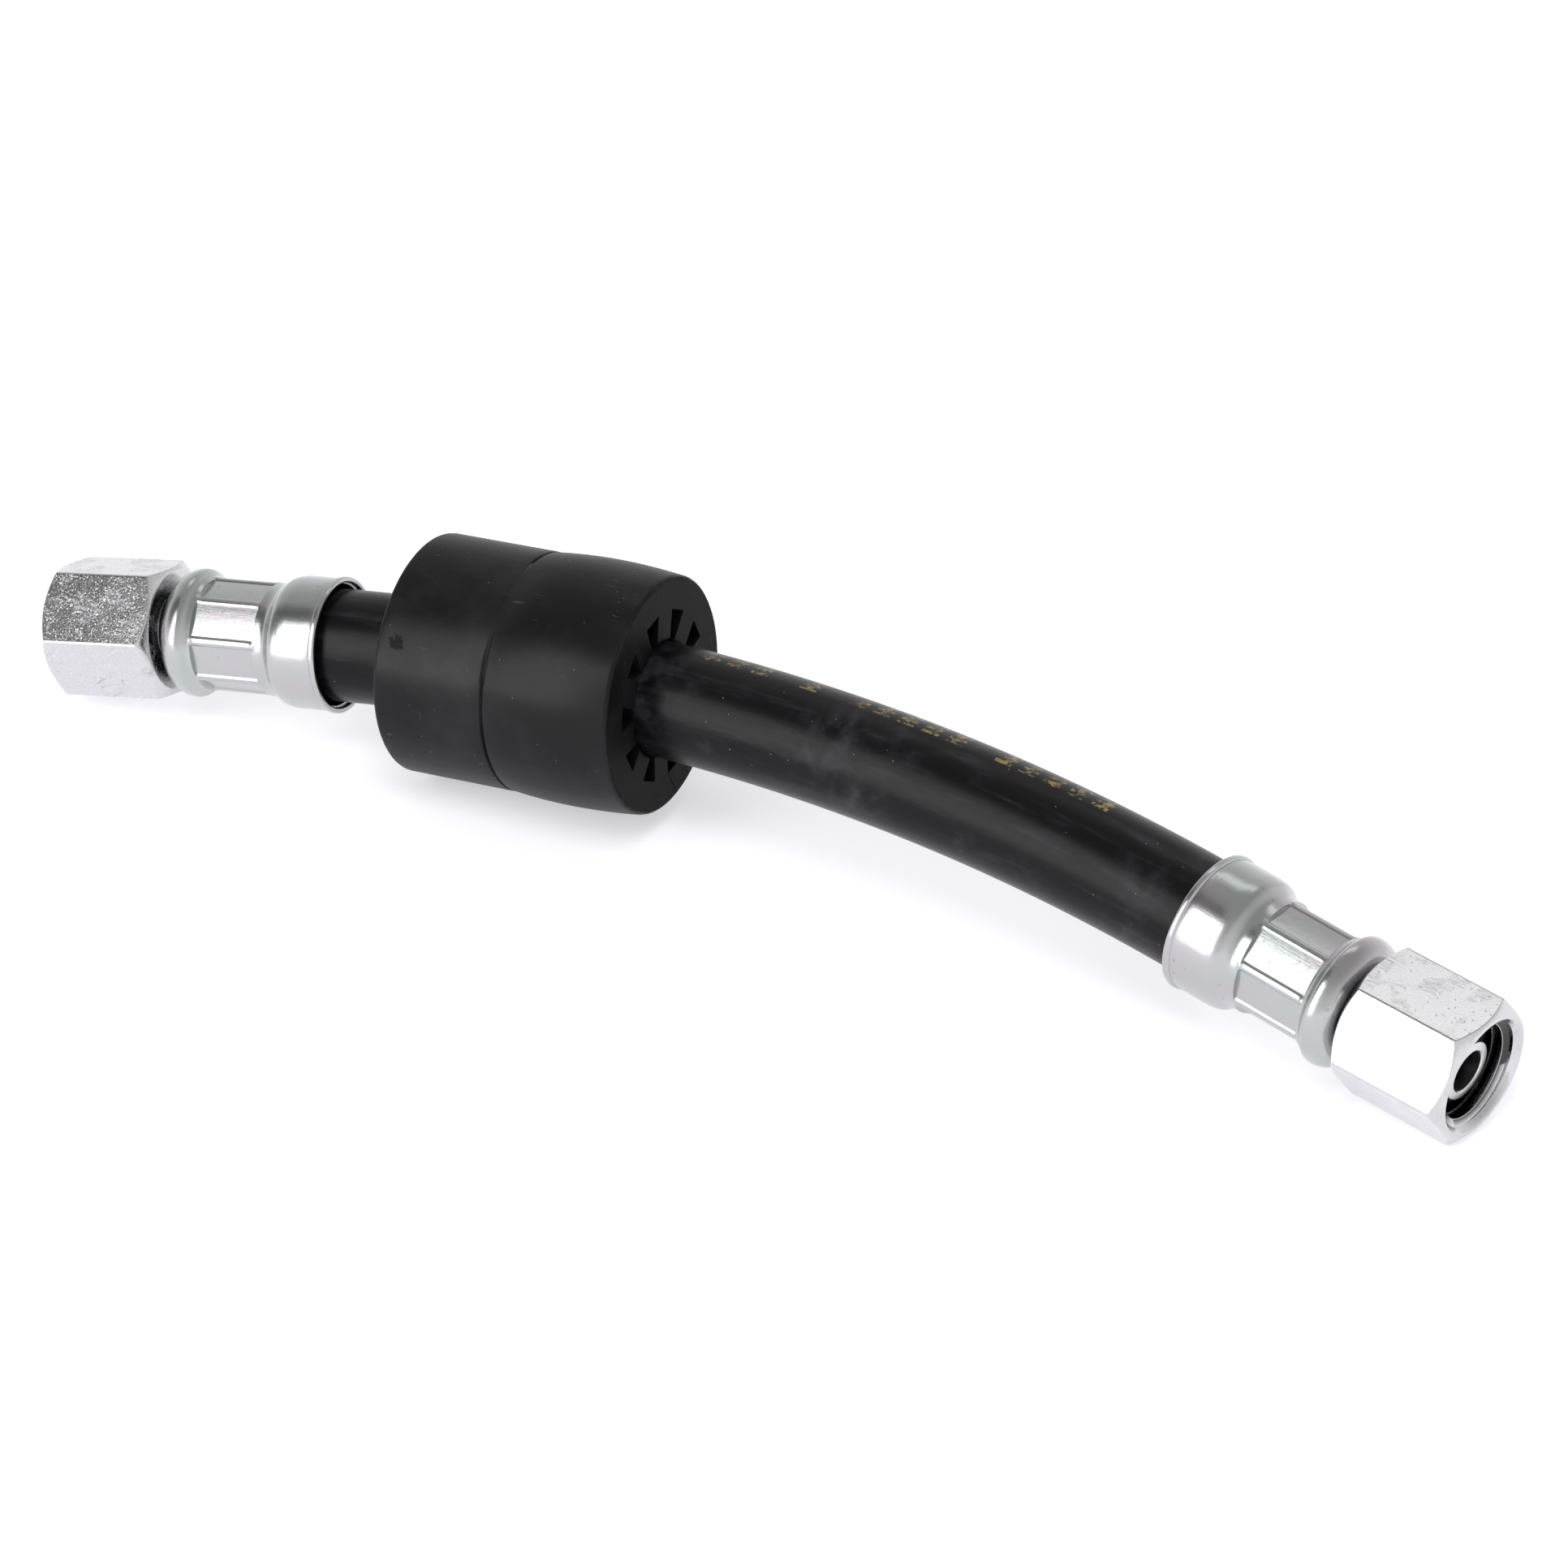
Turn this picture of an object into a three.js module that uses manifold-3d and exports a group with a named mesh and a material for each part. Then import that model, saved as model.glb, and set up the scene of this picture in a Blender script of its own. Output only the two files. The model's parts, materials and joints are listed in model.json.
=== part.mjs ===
// Fuel hose: a bent rubber hose with a crimped union nut fitting at each end and a split rubber bush on it.
// Millimetres and degrees, +Z up, the run of the hose along +X, resting on the ground at z = 0.
import * as THREE from 'three';
import { mergeVertices } from 'three/addons/utils/BufferGeometryUtils.js';
import Module from 'manifold-3d';

const wasm = await Module();
wasm.setup();

// Gap kept between pieces that touch
const SEAT_GAP = 0.3;

// Hose: one vulcanised tube in an even bend that leans back from the ground
const HOSE_OD = 15;
const HOSE_BORE = 8;
const HOSE_FREE_LENGTH = 130;
const BEND_ANGLE = 23.8;
const BEND_LEAN = 36;
const HOSE_SIDES = 32;
const HOSE_STEP = 10;

// Bush: its place is the distance from the left ferrule's mouth to its near face
const BUSH_PLACE = 12.9;
const BUSH_LENGTH = 34.3;
const BUSH_OD = 31.9;
const BUSH_BARREL_OD = 32.7;
const BUSH_NARROW_END_OD = 31.6;
const BUSH_SEAM_SHARE = 0.47;
const BUSH_SEAM_WIDTH = 0.5;
const BUSH_SEAM_DEPTH = 0.35;
const BUSH_EDGE_ROUND = 0.6;
const BUSH_SLOT_COUNT = 10;
const BUSH_SLOT_OUTER_RADIUS = 11.3;
const BUSH_SLOT_OUTER_WIDTH = 3.4;
const BUSH_SLOT_INNER_WIDTH = 1.2;
const BUSH_TURN = 7.3;
const BUSH_BORE_FLARE = 0.35;
const BUSH_SLIT_WIDTH = 0.3;
const BUSH_SLIT_SLOT = 5;
const BUSH_SLIT_LEAN = 17;
const BUSH_SIDES = 48;

// Ferrule: one drawn steel sleeve, crimped by eight dies
const SHEET = 0.7;
const FERRULE_LENGTH = 24.4;
const MOUTH_OD = 18.25;
const MOUTH_LIP_LENGTH = 0.8;
const BELL_OD = 17.75;
const BELL_LENGTH = 4.2;
const BELL_SHARES = [0.3, 0.62];
const BELL_DROPS = [0.2, 0.9];
const BULGE_OD = 17.3;
const BULGE_LENGTH = 5.1;
const BULGE_RISE_SHARE = 0.38;
const BULGE_ROUND_SHARE = 0.6;
const BULGE_END_DROPS = [0.35, 0.75];
const CRIMP_LENGTH = 9.3;
const CRIMP_ACROSS_FLATS = 14;
const CRIMP_RIB_OD = 15.2;
const CRIMP_RIB_WIDTH = 1.4;
const CRIMP_COUNT = 8;
const FERRULE_SIDES = 32;

// Nipple: barbed tail in the hose, plain tube end with a 24 degree cone in the nut
const TUBE_OD = 8;
const TUBE_BORE = 5.5;
const TAIL_OD = 8;
const BARB_DEPTH = 0.25;
const BARB_COUNT = 4;
const BARB_PITCH = 3.6;
const BARB_RISE_SHARE = 0.8;
const BARB_BACK_SHARE = 0.82;
const TAIL_RUN_OUT = 2;
const COLLAR_OD = 9.6;
const COLLAR_THICKNESS = 0.6;
const CONE_ANGLE = 24;
const SHOULDER_OD = 11;
const SHOULDER_LENGTH = 1.2;
const TUBE_END_CHAMFER = 0.35;
const NIPPLE_SIDES = 28;

// Union nut for a thread of 14 mm with a pitch of 1.5 mm
const NUT_ACROSS_FLATS = 17;
const NUT_LENGTH = 16.5;
const NUT_CHAMFER_ANGLE = 36;
const NUT_FACE_OD = 16.2;
const NUT_BACK_WALL = 3.4;
const NUT_BEHIND = 0.7;
const THREAD_MINOR_DIAMETER = 12.4;
const MOUTH_CONE_OD = 15.2;
const MOUTH_CONE_DEPTH = 1.7;
const NUT_FRONT_TO_TUBE_END = 2.2;
const NUT_SIDES = 36;

// Turn of each end's crimp and nut about the hose
const LEFT_CRIMP_TURN = 19.3;
const RIGHT_CRIMP_TURN = 25.7;
const LEFT_NUT_TURN = -17.1;
const RIGHT_NUT_TURN = -21.4;

// Droop of each loose nut's outer end
const LEFT_NUT_DROOP = 2.5;
const RIGHT_NUT_DROOP = -2;

// Sizes that follow from those above
const hoseRadius = HOSE_OD / 2;
const crimpEnd = FERRULE_LENGTH - BULGE_LENGTH;
const crimpStart = crimpEnd - CRIMP_LENGTH;
const crimpFlat = CRIMP_ACROSS_FLATS / 2;
const crimpInside = crimpFlat - SHEET;
const ferruleHole = COLLAR_OD / 2 - COLLAR_THICKNESS + SEAT_GAP;
const tailStart = crimpStart - BARB_PITCH;
const tailBoreInHose = TAIL_OD / 2 + SEAT_GAP;
const hoseEnd = FERRULE_LENGTH - SHEET - COLLAR_THICKNESS - 3 * SEAT_GAP;
const nutBack = FERRULE_LENGTH + NUT_BEHIND;
const nutFront = nutBack + NUT_LENGTH;
const nutHole = COLLAR_OD / 2 + SEAT_GAP;
const tubeEnd = nutFront - NUT_FRONT_TO_TUBE_END;
const bushStart = BUSH_PLACE;
const bushEnd = BUSH_PLACE + BUSH_LENGTH;

const rubber = new THREE.MeshStandardMaterial({ color: 0x17171a, roughness: 0.55, metalness: 0 });
const bushRubber = new THREE.MeshStandardMaterial({ color: 0x1c1c1f, roughness: 0.7, metalness: 0 });
const platedSheet = new THREE.MeshStandardMaterial({ color: 0xb9bbbd, roughness: 0.32, metalness: 1 });
const platedSteel = new THREE.MeshStandardMaterial({ color: 0xd0d2d4, roughness: 0.28, metalness: 1 });
const turnedSteel = new THREE.MeshStandardMaterial({ color: 0xc2c4c6, roughness: 0.3, metalness: 1 });

// Solid helpers

function toSolid(geometry) {
  const bare = geometry.clone();
  bare.deleteAttribute('normal');
  bare.deleteAttribute('uv');
  const merged = mergeVertices(bare, 1e-4);
  const vertProperties = new Float32Array(merged.attributes.position.array);
  const triVerts = new Uint32Array(merged.index.array);
  const solid = new wasm.Manifold(new wasm.Mesh({ numProp: 3, vertProperties, triVerts }));
  if (solid.volume() > 0) {
    return solid;
  }
  for (let i = 0; i < triVerts.length; i += 3) {
    [triVerts[i], triVerts[i + 1]] = [triVerts[i + 1], triVerts[i]];
  }
  return new wasm.Manifold(new wasm.Mesh({ numProp: 3, vertProperties, triVerts }));
}

function toGeometry(solid) {
  const mesh = solid.getMesh();
  const geometry = new THREE.BufferGeometry();
  geometry.setAttribute('position', new THREE.BufferAttribute(new Float32Array(mesh.vertProperties), 3));
  geometry.setIndex(new THREE.BufferAttribute(new Uint32Array(mesh.triVerts), 1));
  geometry.computeVertexNormals();
  return geometry;
}

// A turned body about the X axis from its closed outline of [x, radius] points
function turned(outline, sides) {
  const points = [...outline, outline[0]].map(([x, radius]) => new THREE.Vector2(radius, x));
  const geometry = new THREE.LatheGeometry(points, sides);
  geometry.rotateZ(-Math.PI / 2);
  return geometry;
}

// A prism along +X from an outline of [y, z] points
function prism(outline, start, length) {
  const shape = new THREE.Shape(outline.map(([y, z]) => new THREE.Vector2(y, z)));
  const geometry = new THREE.ExtrudeGeometry(shape, { depth: length, bevelEnabled: false });
  const turn = new THREE.Matrix4().makeBasis(
    new THREE.Vector3(0, 1, 0), new THREE.Vector3(0, 0, 1), new THREE.Vector3(1, 0, 0));
  geometry.applyMatrix4(turn);
  geometry.translate(start, 0, 0);
  return geometry;
}

function aboutX(point, degrees) {
  const angle = THREE.MathUtils.degToRad(degrees);
  const [y, z] = point;
  return [y * Math.cos(angle) - z * Math.sin(angle), y * Math.sin(angle) + z * Math.cos(angle)];
}

// The run of the hose: distance is measured along its centre from the left ferrule's mouth

const bendRadius = HOSE_FREE_LENGTH / THREE.MathUtils.degToRad(BEND_ANGLE);
const lean = THREE.MathUtils.degToRad(BEND_LEAN);
const towardCentre = new THREE.Vector3(0, -Math.cos(lean), -Math.sin(lean));
const bendAxis = new THREE.Vector3(1, 0, 0).cross(towardCentre);

function station(distance) {
  const fromMiddle = distance - HOSE_FREE_LENGTH / 2;
  const inBend = THREE.MathUtils.clamp(fromMiddle, -HOSE_FREE_LENGTH / 2, HOSE_FREE_LENGTH / 2);
  const turn = new THREE.Quaternion().setFromAxisAngle(bendAxis, inBend / bendRadius);
  const place = towardCentre.clone().multiplyScalar(bendRadius);
  place.add(towardCentre.clone().multiplyScalar(-bendRadius).applyQuaternion(turn));
  place.add(new THREE.Vector3(fromMiddle - inBend, 0, 0).applyQuaternion(turn));
  return { place, turn };
}

function bent(geometry) {
  const position = geometry.attributes.position;
  const point = new THREE.Vector3();
  for (let i = 0; i < position.count; i += 1) {
    const { place, turn } = station(position.getX(i));
    point.set(0, position.getY(i), position.getZ(i)).applyQuaternion(turn).add(place);
    position.setXYZ(i, point.x, point.y, point.z);
  }
  geometry.computeVertexNormals();
  return geometry;
}

function spread(start, end, step) {
  const count = Math.max(1, Math.ceil((end - start) / step));
  return Array.from({ length: count + 1 }, (_, i) => start + ((end - start) * i) / count);
}

// Inside of a ferrule, from its mouth to its closed end
function ferruleInside() {
  return ferruleLine(MOUTH_OD / 2 - SHEET, BELL_OD / 2 - SHEET, crimpInside,
    BULGE_OD / 2 - SHEET, ferruleHole, FERRULE_LENGTH - SHEET);
}

// Hose: full size between the ferrules, squeezed under each crimp and swollen again in each bulge
function hoseEndOutline(outward) {
  const filled = ferruleInside().filter(([x]) => x > crimpStart - BELL_LENGTH / 2 && x < hoseEnd);
  const outside = filled.map(([x, radius]) => [x, Math.min(hoseRadius, radius - SEAT_GAP)]);
  outside.push([hoseEnd, crimpInside - SEAT_GAP]);
  const inside = [
    [hoseEnd, tailBoreInHose],
    [tailStart - SEAT_GAP, tailBoreInHose],
    [tailStart - TAIL_RUN_OUT, HOSE_BORE / 2],
  ];
  const place = ([x, radius]) => [outward > 0 ? HOSE_FREE_LENGTH + x : -x, radius];
  return { outside: outside.map(place), inside: inside.map(place) };
}

function hose() {
  const left = hoseEndOutline(-1);
  const right = hoseEndOutline(1);
  const run = spread(0, HOSE_FREE_LENGTH, HOSE_STEP);
  const outline = [
    ...left.outside.reverse(),
    ...run.map((x) => [x, hoseRadius]),
    ...right.outside,
    ...right.inside,
    ...run.reverse().map((x) => [x, HOSE_BORE / 2]),
    ...left.inside.reverse(),
  ];
  return bent(turned(outline, HOSE_SIDES));
}

// Bush: split and slotted, so that it can be opened over the hose and its teeth grip it
function bushOutline() {
  const wide = BUSH_OD / 2;
  const narrow = BUSH_NARROW_END_OD / 2;
  const barrelTop = BUSH_BARREL_OD - (wide + narrow) / 2;
  const round = BUSH_EDGE_ROUND;
  const corner = round * (1 - Math.SQRT1_2);
  const seam = bushStart + BUSH_LENGTH * BUSH_SEAM_SHARE;
  const barrel = new THREE.QuadraticBezierCurve(
    new THREE.Vector2(seam + BUSH_SEAM_WIDTH / 2, wide),
    new THREE.Vector2((seam + bushEnd) / 2, barrelTop),
    new THREE.Vector2(bushEnd - round, narrow));
  return [
    [bushStart, 0],
    [bushStart, wide - round],
    [bushStart + corner, wide - corner],
    [bushStart + round, wide],
    [seam - BUSH_SEAM_WIDTH / 2, wide],
    [seam, wide - BUSH_SEAM_DEPTH],
    ...barrel.getPoints(4).map(({ x, y }) => [x, y]),
    [bushEnd - corner, narrow - corner],
    [bushEnd, narrow - round],
    [bushEnd, 0],
  ];
}

function bush() {
  const middle = station((bushStart + bushEnd) / 2);
  const straight = new THREE.Matrix4().compose(middle.place, middle.turn, new THREE.Vector3(1, 1, 1));
  straight.multiply(new THREE.Matrix4().makeTranslation(-(bushStart + bushEnd) / 2, 0, 0));
  const cutStart = bushStart - BUSH_EDGE_ROUND;
  const cutLength = BUSH_LENGTH + 2 * BUSH_EDGE_ROUND;
  const outer = BUSH_SLOT_OUTER_WIDTH / 2;
  const inner = BUSH_SLOT_INNER_WIDTH / 2;
  const slot = [[-inner, hoseRadius - inner], [inner, hoseRadius - inner],
    [outer, BUSH_SLOT_OUTER_RADIUS], [-outer, BUSH_SLOT_OUTER_RADIUS]];
  const slitRoot = BUSH_SLOT_OUTER_RADIUS - BUSH_SLIT_WIDTH;
  const slitShift = (BUSH_OD - slitRoot) * Math.tan(THREE.MathUtils.degToRad(BUSH_SLIT_LEAN));
  const slit = [[outer - BUSH_SLIT_WIDTH, slitRoot], [outer, slitRoot],
    [outer - slitShift, BUSH_OD], [outer - BUSH_SLIT_WIDTH - slitShift, BUSH_OD]];
  let solid = toSolid(turned(bushOutline(), BUSH_SIDES).applyMatrix4(straight));
  for (let i = 0; i < BUSH_SLOT_COUNT; i += 1) {
    const turn = BUSH_TURN + (360 * i) / BUSH_SLOT_COUNT;
    const wedge = prism(slot.map((point) => aboutX(point, turn)), cutStart, cutLength);
    solid = solid.subtract(toSolid(wedge.applyMatrix4(straight)));
  }
  const slitTurn = BUSH_TURN + (360 * BUSH_SLIT_SLOT) / BUSH_SLOT_COUNT;
  const cut = prism(slit.map((point) => aboutX(point, slitTurn)), cutStart, cutLength);
  solid = solid.subtract(toSolid(cut.applyMatrix4(straight)));
  const gripRadius = hoseRadius + SEAT_GAP;
  const flared = gripRadius + BUSH_BORE_FLARE + BUSH_EDGE_ROUND;
  const run = spread(bushStart + BUSH_BORE_FLARE, bushEnd - BUSH_BORE_FLARE, HOSE_STEP);
  const cutEnd = cutStart + cutLength;
  const grip = run.map((x) => [x, gripRadius]);
  const core = [[cutStart, flared], ...grip, [cutEnd, flared], [cutEnd, 0], [cutStart, 0]];
  return toGeometry(solid.subtract(toSolid(bent(turned(core, HOSE_SIDES)))));
}

// The pieces of a fitting lie along +X from the ferrule's mouth at x = 0 out to the nut

function ferruleLine(mouth, bell, waist, bulge, hole, end) {
  const shoulder = crimpStart - BELL_LENGTH;
  const slope = BELL_SHARES.map((share, i) => new THREE.Vector2(
    shoulder + BELL_LENGTH * share, bell - (bell - waist) * BELL_DROPS[i]));
  const lip = [[0, mouth], [MOUTH_LIP_LENGTH, mouth], [MOUTH_LIP_LENGTH + mouth - bell, bell]];
  const fall = new THREE.SplineCurve([
    new THREE.Vector2(shoulder, bell),
    ...slope,
    new THREE.Vector2(crimpStart, waist),
  ]);
  const swell = BULGE_LENGTH * BULGE_RISE_SHARE;
  const top = crimpEnd + swell;
  const rise = new THREE.CubicBezierCurve(
    new THREE.Vector2(crimpEnd, waist),
    new THREE.Vector2(crimpEnd + swell / 2, waist),
    new THREE.Vector2(crimpEnd + swell / 2, bulge),
    new THREE.Vector2(top, bulge));
  const close = new THREE.CubicBezierCurve(
    new THREE.Vector2(top, bulge),
    new THREE.Vector2(top + (end - top) * BULGE_ROUND_SHARE, bulge),
    ...BULGE_END_DROPS.map((drop) => new THREE.Vector2(end, bulge - (bulge - hole) * drop)));
  const points = [...fall.getPoints(6), ...rise.getPoints(3).slice(1), ...close.getPoints(4).slice(1)];
  return [...lip, ...points.map(({ x, y }) => [x, y]), [end, hole]];
}

function ferrule() {
  const outside = ferruleLine(MOUTH_OD / 2, BELL_OD / 2, CRIMP_RIB_OD / 2,
    BULGE_OD / 2, ferruleHole, FERRULE_LENGTH);
  let solid = toSolid(turned([...outside, ...ferruleInside().reverse()], FERRULE_SIDES));
  const flatWidth = CRIMP_ACROSS_FLATS * Math.tan(Math.PI / CRIMP_COUNT) - CRIMP_RIB_WIDTH;
  const die = [[-flatWidth / 2, crimpFlat], [flatWidth / 2, crimpFlat],
    [flatWidth / 2, BELL_OD / 2], [-flatWidth / 2, BELL_OD / 2]];
  for (let i = 0; i < CRIMP_COUNT; i += 1) {
    const turn = (360 * (i + 0.5)) / CRIMP_COUNT;
    const pocket = prism(die.map((point) => aboutX(point, turn)), crimpStart, CRIMP_LENGTH);
    solid = solid.subtract(toSolid(pocket));
  }
  return toGeometry(solid);
}

function nipple() {
  const tail = TAIL_OD / 2;
  const root = tail - BARB_DEPTH;
  const collar = COLLAR_OD / 2;
  const groove = collar - COLLAR_THICKNESS;
  const bore = TUBE_BORE / 2;
  const tube = TUBE_OD / 2;
  const shoulder = SHOULDER_OD / 2;
  const coneLength = (shoulder - tube) / Math.tan(THREE.MathUtils.degToRad(CONE_ANGLE / 2));
  const coneStart = tubeEnd - TUBE_END_CHAMFER - coneLength;
  const grooveStart = FERRULE_LENGTH - SHEET - SEAT_GAP;
  const outline = [[tailStart, bore], [tailStart, root - BARB_DEPTH]];
  for (let i = 0; i < BARB_COUNT; i += 1) {
    const barb = tailStart + i * BARB_PITCH;
    outline.push([barb + BARB_PITCH * BARB_RISE_SHARE, tail], [barb + BARB_PITCH * BARB_BACK_SHARE, root]);
  }
  outline.push(
    [grooveStart - COLLAR_THICKNESS, root], [grooveStart - COLLAR_THICKNESS, collar],
    [grooveStart, collar], [grooveStart, groove],
    [FERRULE_LENGTH + SEAT_GAP, groove], [FERRULE_LENGTH + SEAT_GAP, collar],
    [coneStart - SHOULDER_LENGTH - SEAT_GAP, collar], [coneStart - SHOULDER_LENGTH, shoulder],
    [coneStart, shoulder], [tubeEnd - TUBE_END_CHAMFER, tube],
    [tubeEnd, tube - TUBE_END_CHAMFER], [tubeEnd, bore]);
  return turned(outline, NIPPLE_SIDES);
}

function nut() {
  const corner = NUT_ACROSS_FLATS / Math.sqrt(3);
  const hexagon = Array.from({ length: 6 }, (_, i) => aboutX([0, corner], 60 * i));
  const face = NUT_FACE_OD / 2;
  const chamfer = (corner - face) * Math.tan(THREE.MathUtils.degToRad(NUT_CHAMFER_ANGLE));
  const envelope = [[nutBack, 0], [nutBack, face], [nutBack + chamfer, corner],
    [nutFront - chamfer, corner], [nutFront, face], [nutFront, 0]];
  const thread = THREAD_MINOR_DIAMETER / 2;
  const mouth = MOUTH_CONE_OD / 2;
  const seatEnd = nutBack + NUT_BACK_WALL;
  const bore = [[nutBack - SEAT_GAP, 0], [nutBack - SEAT_GAP, nutHole], [seatEnd, nutHole],
    [seatEnd, thread], [nutFront - MOUTH_CONE_DEPTH, thread], [nutFront, mouth],
    [nutFront + SEAT_GAP, mouth], [nutFront + SEAT_GAP, 0]];
  const body = toSolid(prism(hexagon, nutBack, NUT_LENGTH)).intersect(toSolid(turned(envelope, NUT_SIDES)));
  return toGeometry(body.subtract(toSolid(turned(bore, NUT_SIDES))));
}

function piece(name, geometry, material, turn = 0) {
  const mesh = new THREE.Mesh(geometry, material);
  mesh.name = name;
  mesh.rotation.x = THREE.MathUtils.degToRad(turn);
  return mesh;
}

function fitting(side, distance, crimpTurn, nutTurn, nutDroop) {
  const nutPivot = nutBack + NUT_BACK_WALL / 2;
  const hungNut = new THREE.Group();
  hungNut.add(piece(`${side}_nut`, nut().translate(-nutPivot, 0, 0), platedSteel, nutTurn));
  hungNut.position.x = nutPivot;
  hungNut.rotation.y = THREE.MathUtils.degToRad(nutDroop);
  const group = new THREE.Group();
  group.add(piece(`${side}_ferrule`, ferrule(), platedSheet, crimpTurn));
  group.add(piece(`${side}_nipple`, nipple(), turnedSteel));
  group.add(hungNut);
  const { place, turn } = station(distance);
  group.position.copy(place);
  group.quaternion.copy(turn);
  return group;
}

const run = new THREE.Group();
run.add(piece('hose', hose(), rubber));
run.add(piece('bush', bush(), bushRubber));
const leftFitting = fitting('left', 0, LEFT_CRIMP_TURN, LEFT_NUT_TURN, LEFT_NUT_DROOP);
leftFitting.rotateZ(Math.PI);
run.add(leftFitting);
run.add(fitting('right', HOSE_FREE_LENGTH, RIGHT_CRIMP_TURN, RIGHT_NUT_TURN, RIGHT_NUT_DROOP));

// The run lies level on its two nuts, centred over the origin
const part = new THREE.Group();
part.add(run);

function boxOf(object) {
  part.updateMatrixWorld(true);
  return new THREE.Box3().setFromObject(object, true);
}

const leftNutBox = boxOf(part.getObjectByName('left_nut'));
const rightNutBox = boxOf(part.getObjectByName('right_nut'));
run.rotation.y = Math.atan2(rightNutBox.min.z - leftNutBox.min.z, rightNutBox.max.x - leftNutBox.min.x);
const extent = boxOf(run);
run.position.set(-(extent.min.x + extent.max.x) / 2, -(extent.min.y + extent.max.y) / 2, -extent.min.z);

export default part;
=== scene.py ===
import json
import math

import bmesh
import bpy
import numpy as np
from mathutils import Matrix, Vector


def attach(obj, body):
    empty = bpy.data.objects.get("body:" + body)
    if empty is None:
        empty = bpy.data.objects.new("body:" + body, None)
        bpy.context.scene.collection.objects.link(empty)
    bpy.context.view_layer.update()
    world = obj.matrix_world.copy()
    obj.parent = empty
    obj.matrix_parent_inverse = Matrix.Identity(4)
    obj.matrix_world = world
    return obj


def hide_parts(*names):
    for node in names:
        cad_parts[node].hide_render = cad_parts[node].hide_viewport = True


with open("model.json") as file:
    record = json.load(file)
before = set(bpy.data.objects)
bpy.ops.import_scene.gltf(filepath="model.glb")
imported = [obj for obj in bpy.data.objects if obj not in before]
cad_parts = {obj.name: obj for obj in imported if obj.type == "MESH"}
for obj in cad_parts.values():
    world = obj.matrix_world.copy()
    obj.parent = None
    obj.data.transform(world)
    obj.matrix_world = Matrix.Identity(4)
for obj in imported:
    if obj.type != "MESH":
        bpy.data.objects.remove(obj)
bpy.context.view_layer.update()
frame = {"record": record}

bl_info = {
    "name": "Fuel Hose",
    "version": (1, 0, 0),
    "blender": (4, 5, 0),
    "location": "View3D > Sidebar > Fuel Hose",
    "description": "Builds a bent fuel hose with a union nut at each end and a split rubber bush",
    "category": "Add Mesh",
}

MM = 0.001
SEAT_GAP = 0.3 * MM
DOUBLES = 0.002 * MM
CREST_EDGE = 0.12 * MM
PRINT_EDGE = 0.3 * MM
# Painted shade in a bore: how far back it goes, and how much nearer the face the thread's grooves begin to
# darken.
PAINTED_SHADE_LENGTH = 14 * MM
GROOVE_LEAD = 0.45 * MM


def millimetres(label, description, value):
    """A length property whose default is given in millimetres."""
    return bpy.props.FloatProperty(
        name=label, description=description, default=value * MM, unit="LENGTH", precision=5
    )


def degrees(label, description, value):
    """An angle property whose default is given in degrees."""
    return bpy.props.FloatProperty(
        name=label, description=description, default=math.radians(value), subtype="ANGLE"
    )


def shade_of(label, description, value):
    """A colour property, in linear light."""
    return bpy.props.FloatVectorProperty(
        name=label, description=description, default=value, size=3, min=0, max=1, subtype="COLOR"
    )


def amount(label, description, value, kind="FACTOR"):
    """A plain number property: a share or a brightness, unless its kind says otherwise."""
    return bpy.props.FloatProperty(name=label, description=description, default=value, subtype=kind)


def count_of(label, description, value):
    """A property that counts something."""
    return bpy.props.IntProperty(name=label, description=description, default=value, min=1)


class HoseSizes(bpy.types.PropertyGroup):
    """Sizes and colours of the rubber hose."""

    diameter: millimetres("Diameter", "Outside of the hose", 15)
    free_length: millimetres("Free length", "Between the mouths of the two ferrules", 130)
    bend: degrees("Bend", "Turn of the hose from one ferrule to the other", 23.8)
    bend_lean: degrees("Lean", "Tilt of the plane of the bend above the ground", 36)
    end_depth: millimetres("End depth", "How far the hose reaches into a ferrule", 22.2)
    pitch: millimetres("Step", "Distance between the rings of the hose's skin", 2)
    sides: count_of("Sides", "Sides of the hose", 96)
    rubber: shade_of("Rubber", "Colour of the hose", (0.0042, 0.0042, 0.005))
    bloom: shade_of("Bloom", "Colour of the dry film on the rubber", (0.075, 0.075, 0.088))
    print_colour: shade_of("Print", "Colour of the faded marks", (0.26, 0.195, 0.075))
    print_start: millimetres("Print start", "From the left ferrule's mouth to the first mark", 49)
    print_end: millimetres("Print end", "From the left ferrule's mouth to the last mark", 117)
    print_angle: degrees("Print angle", "Place of the marks round the hose", 74)
    print_height: millimetres("Print height", "Height of the row of marks", 4.4)
    print_pitch: millimetres("Print step", "From one mark to the next", 3.6)


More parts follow.
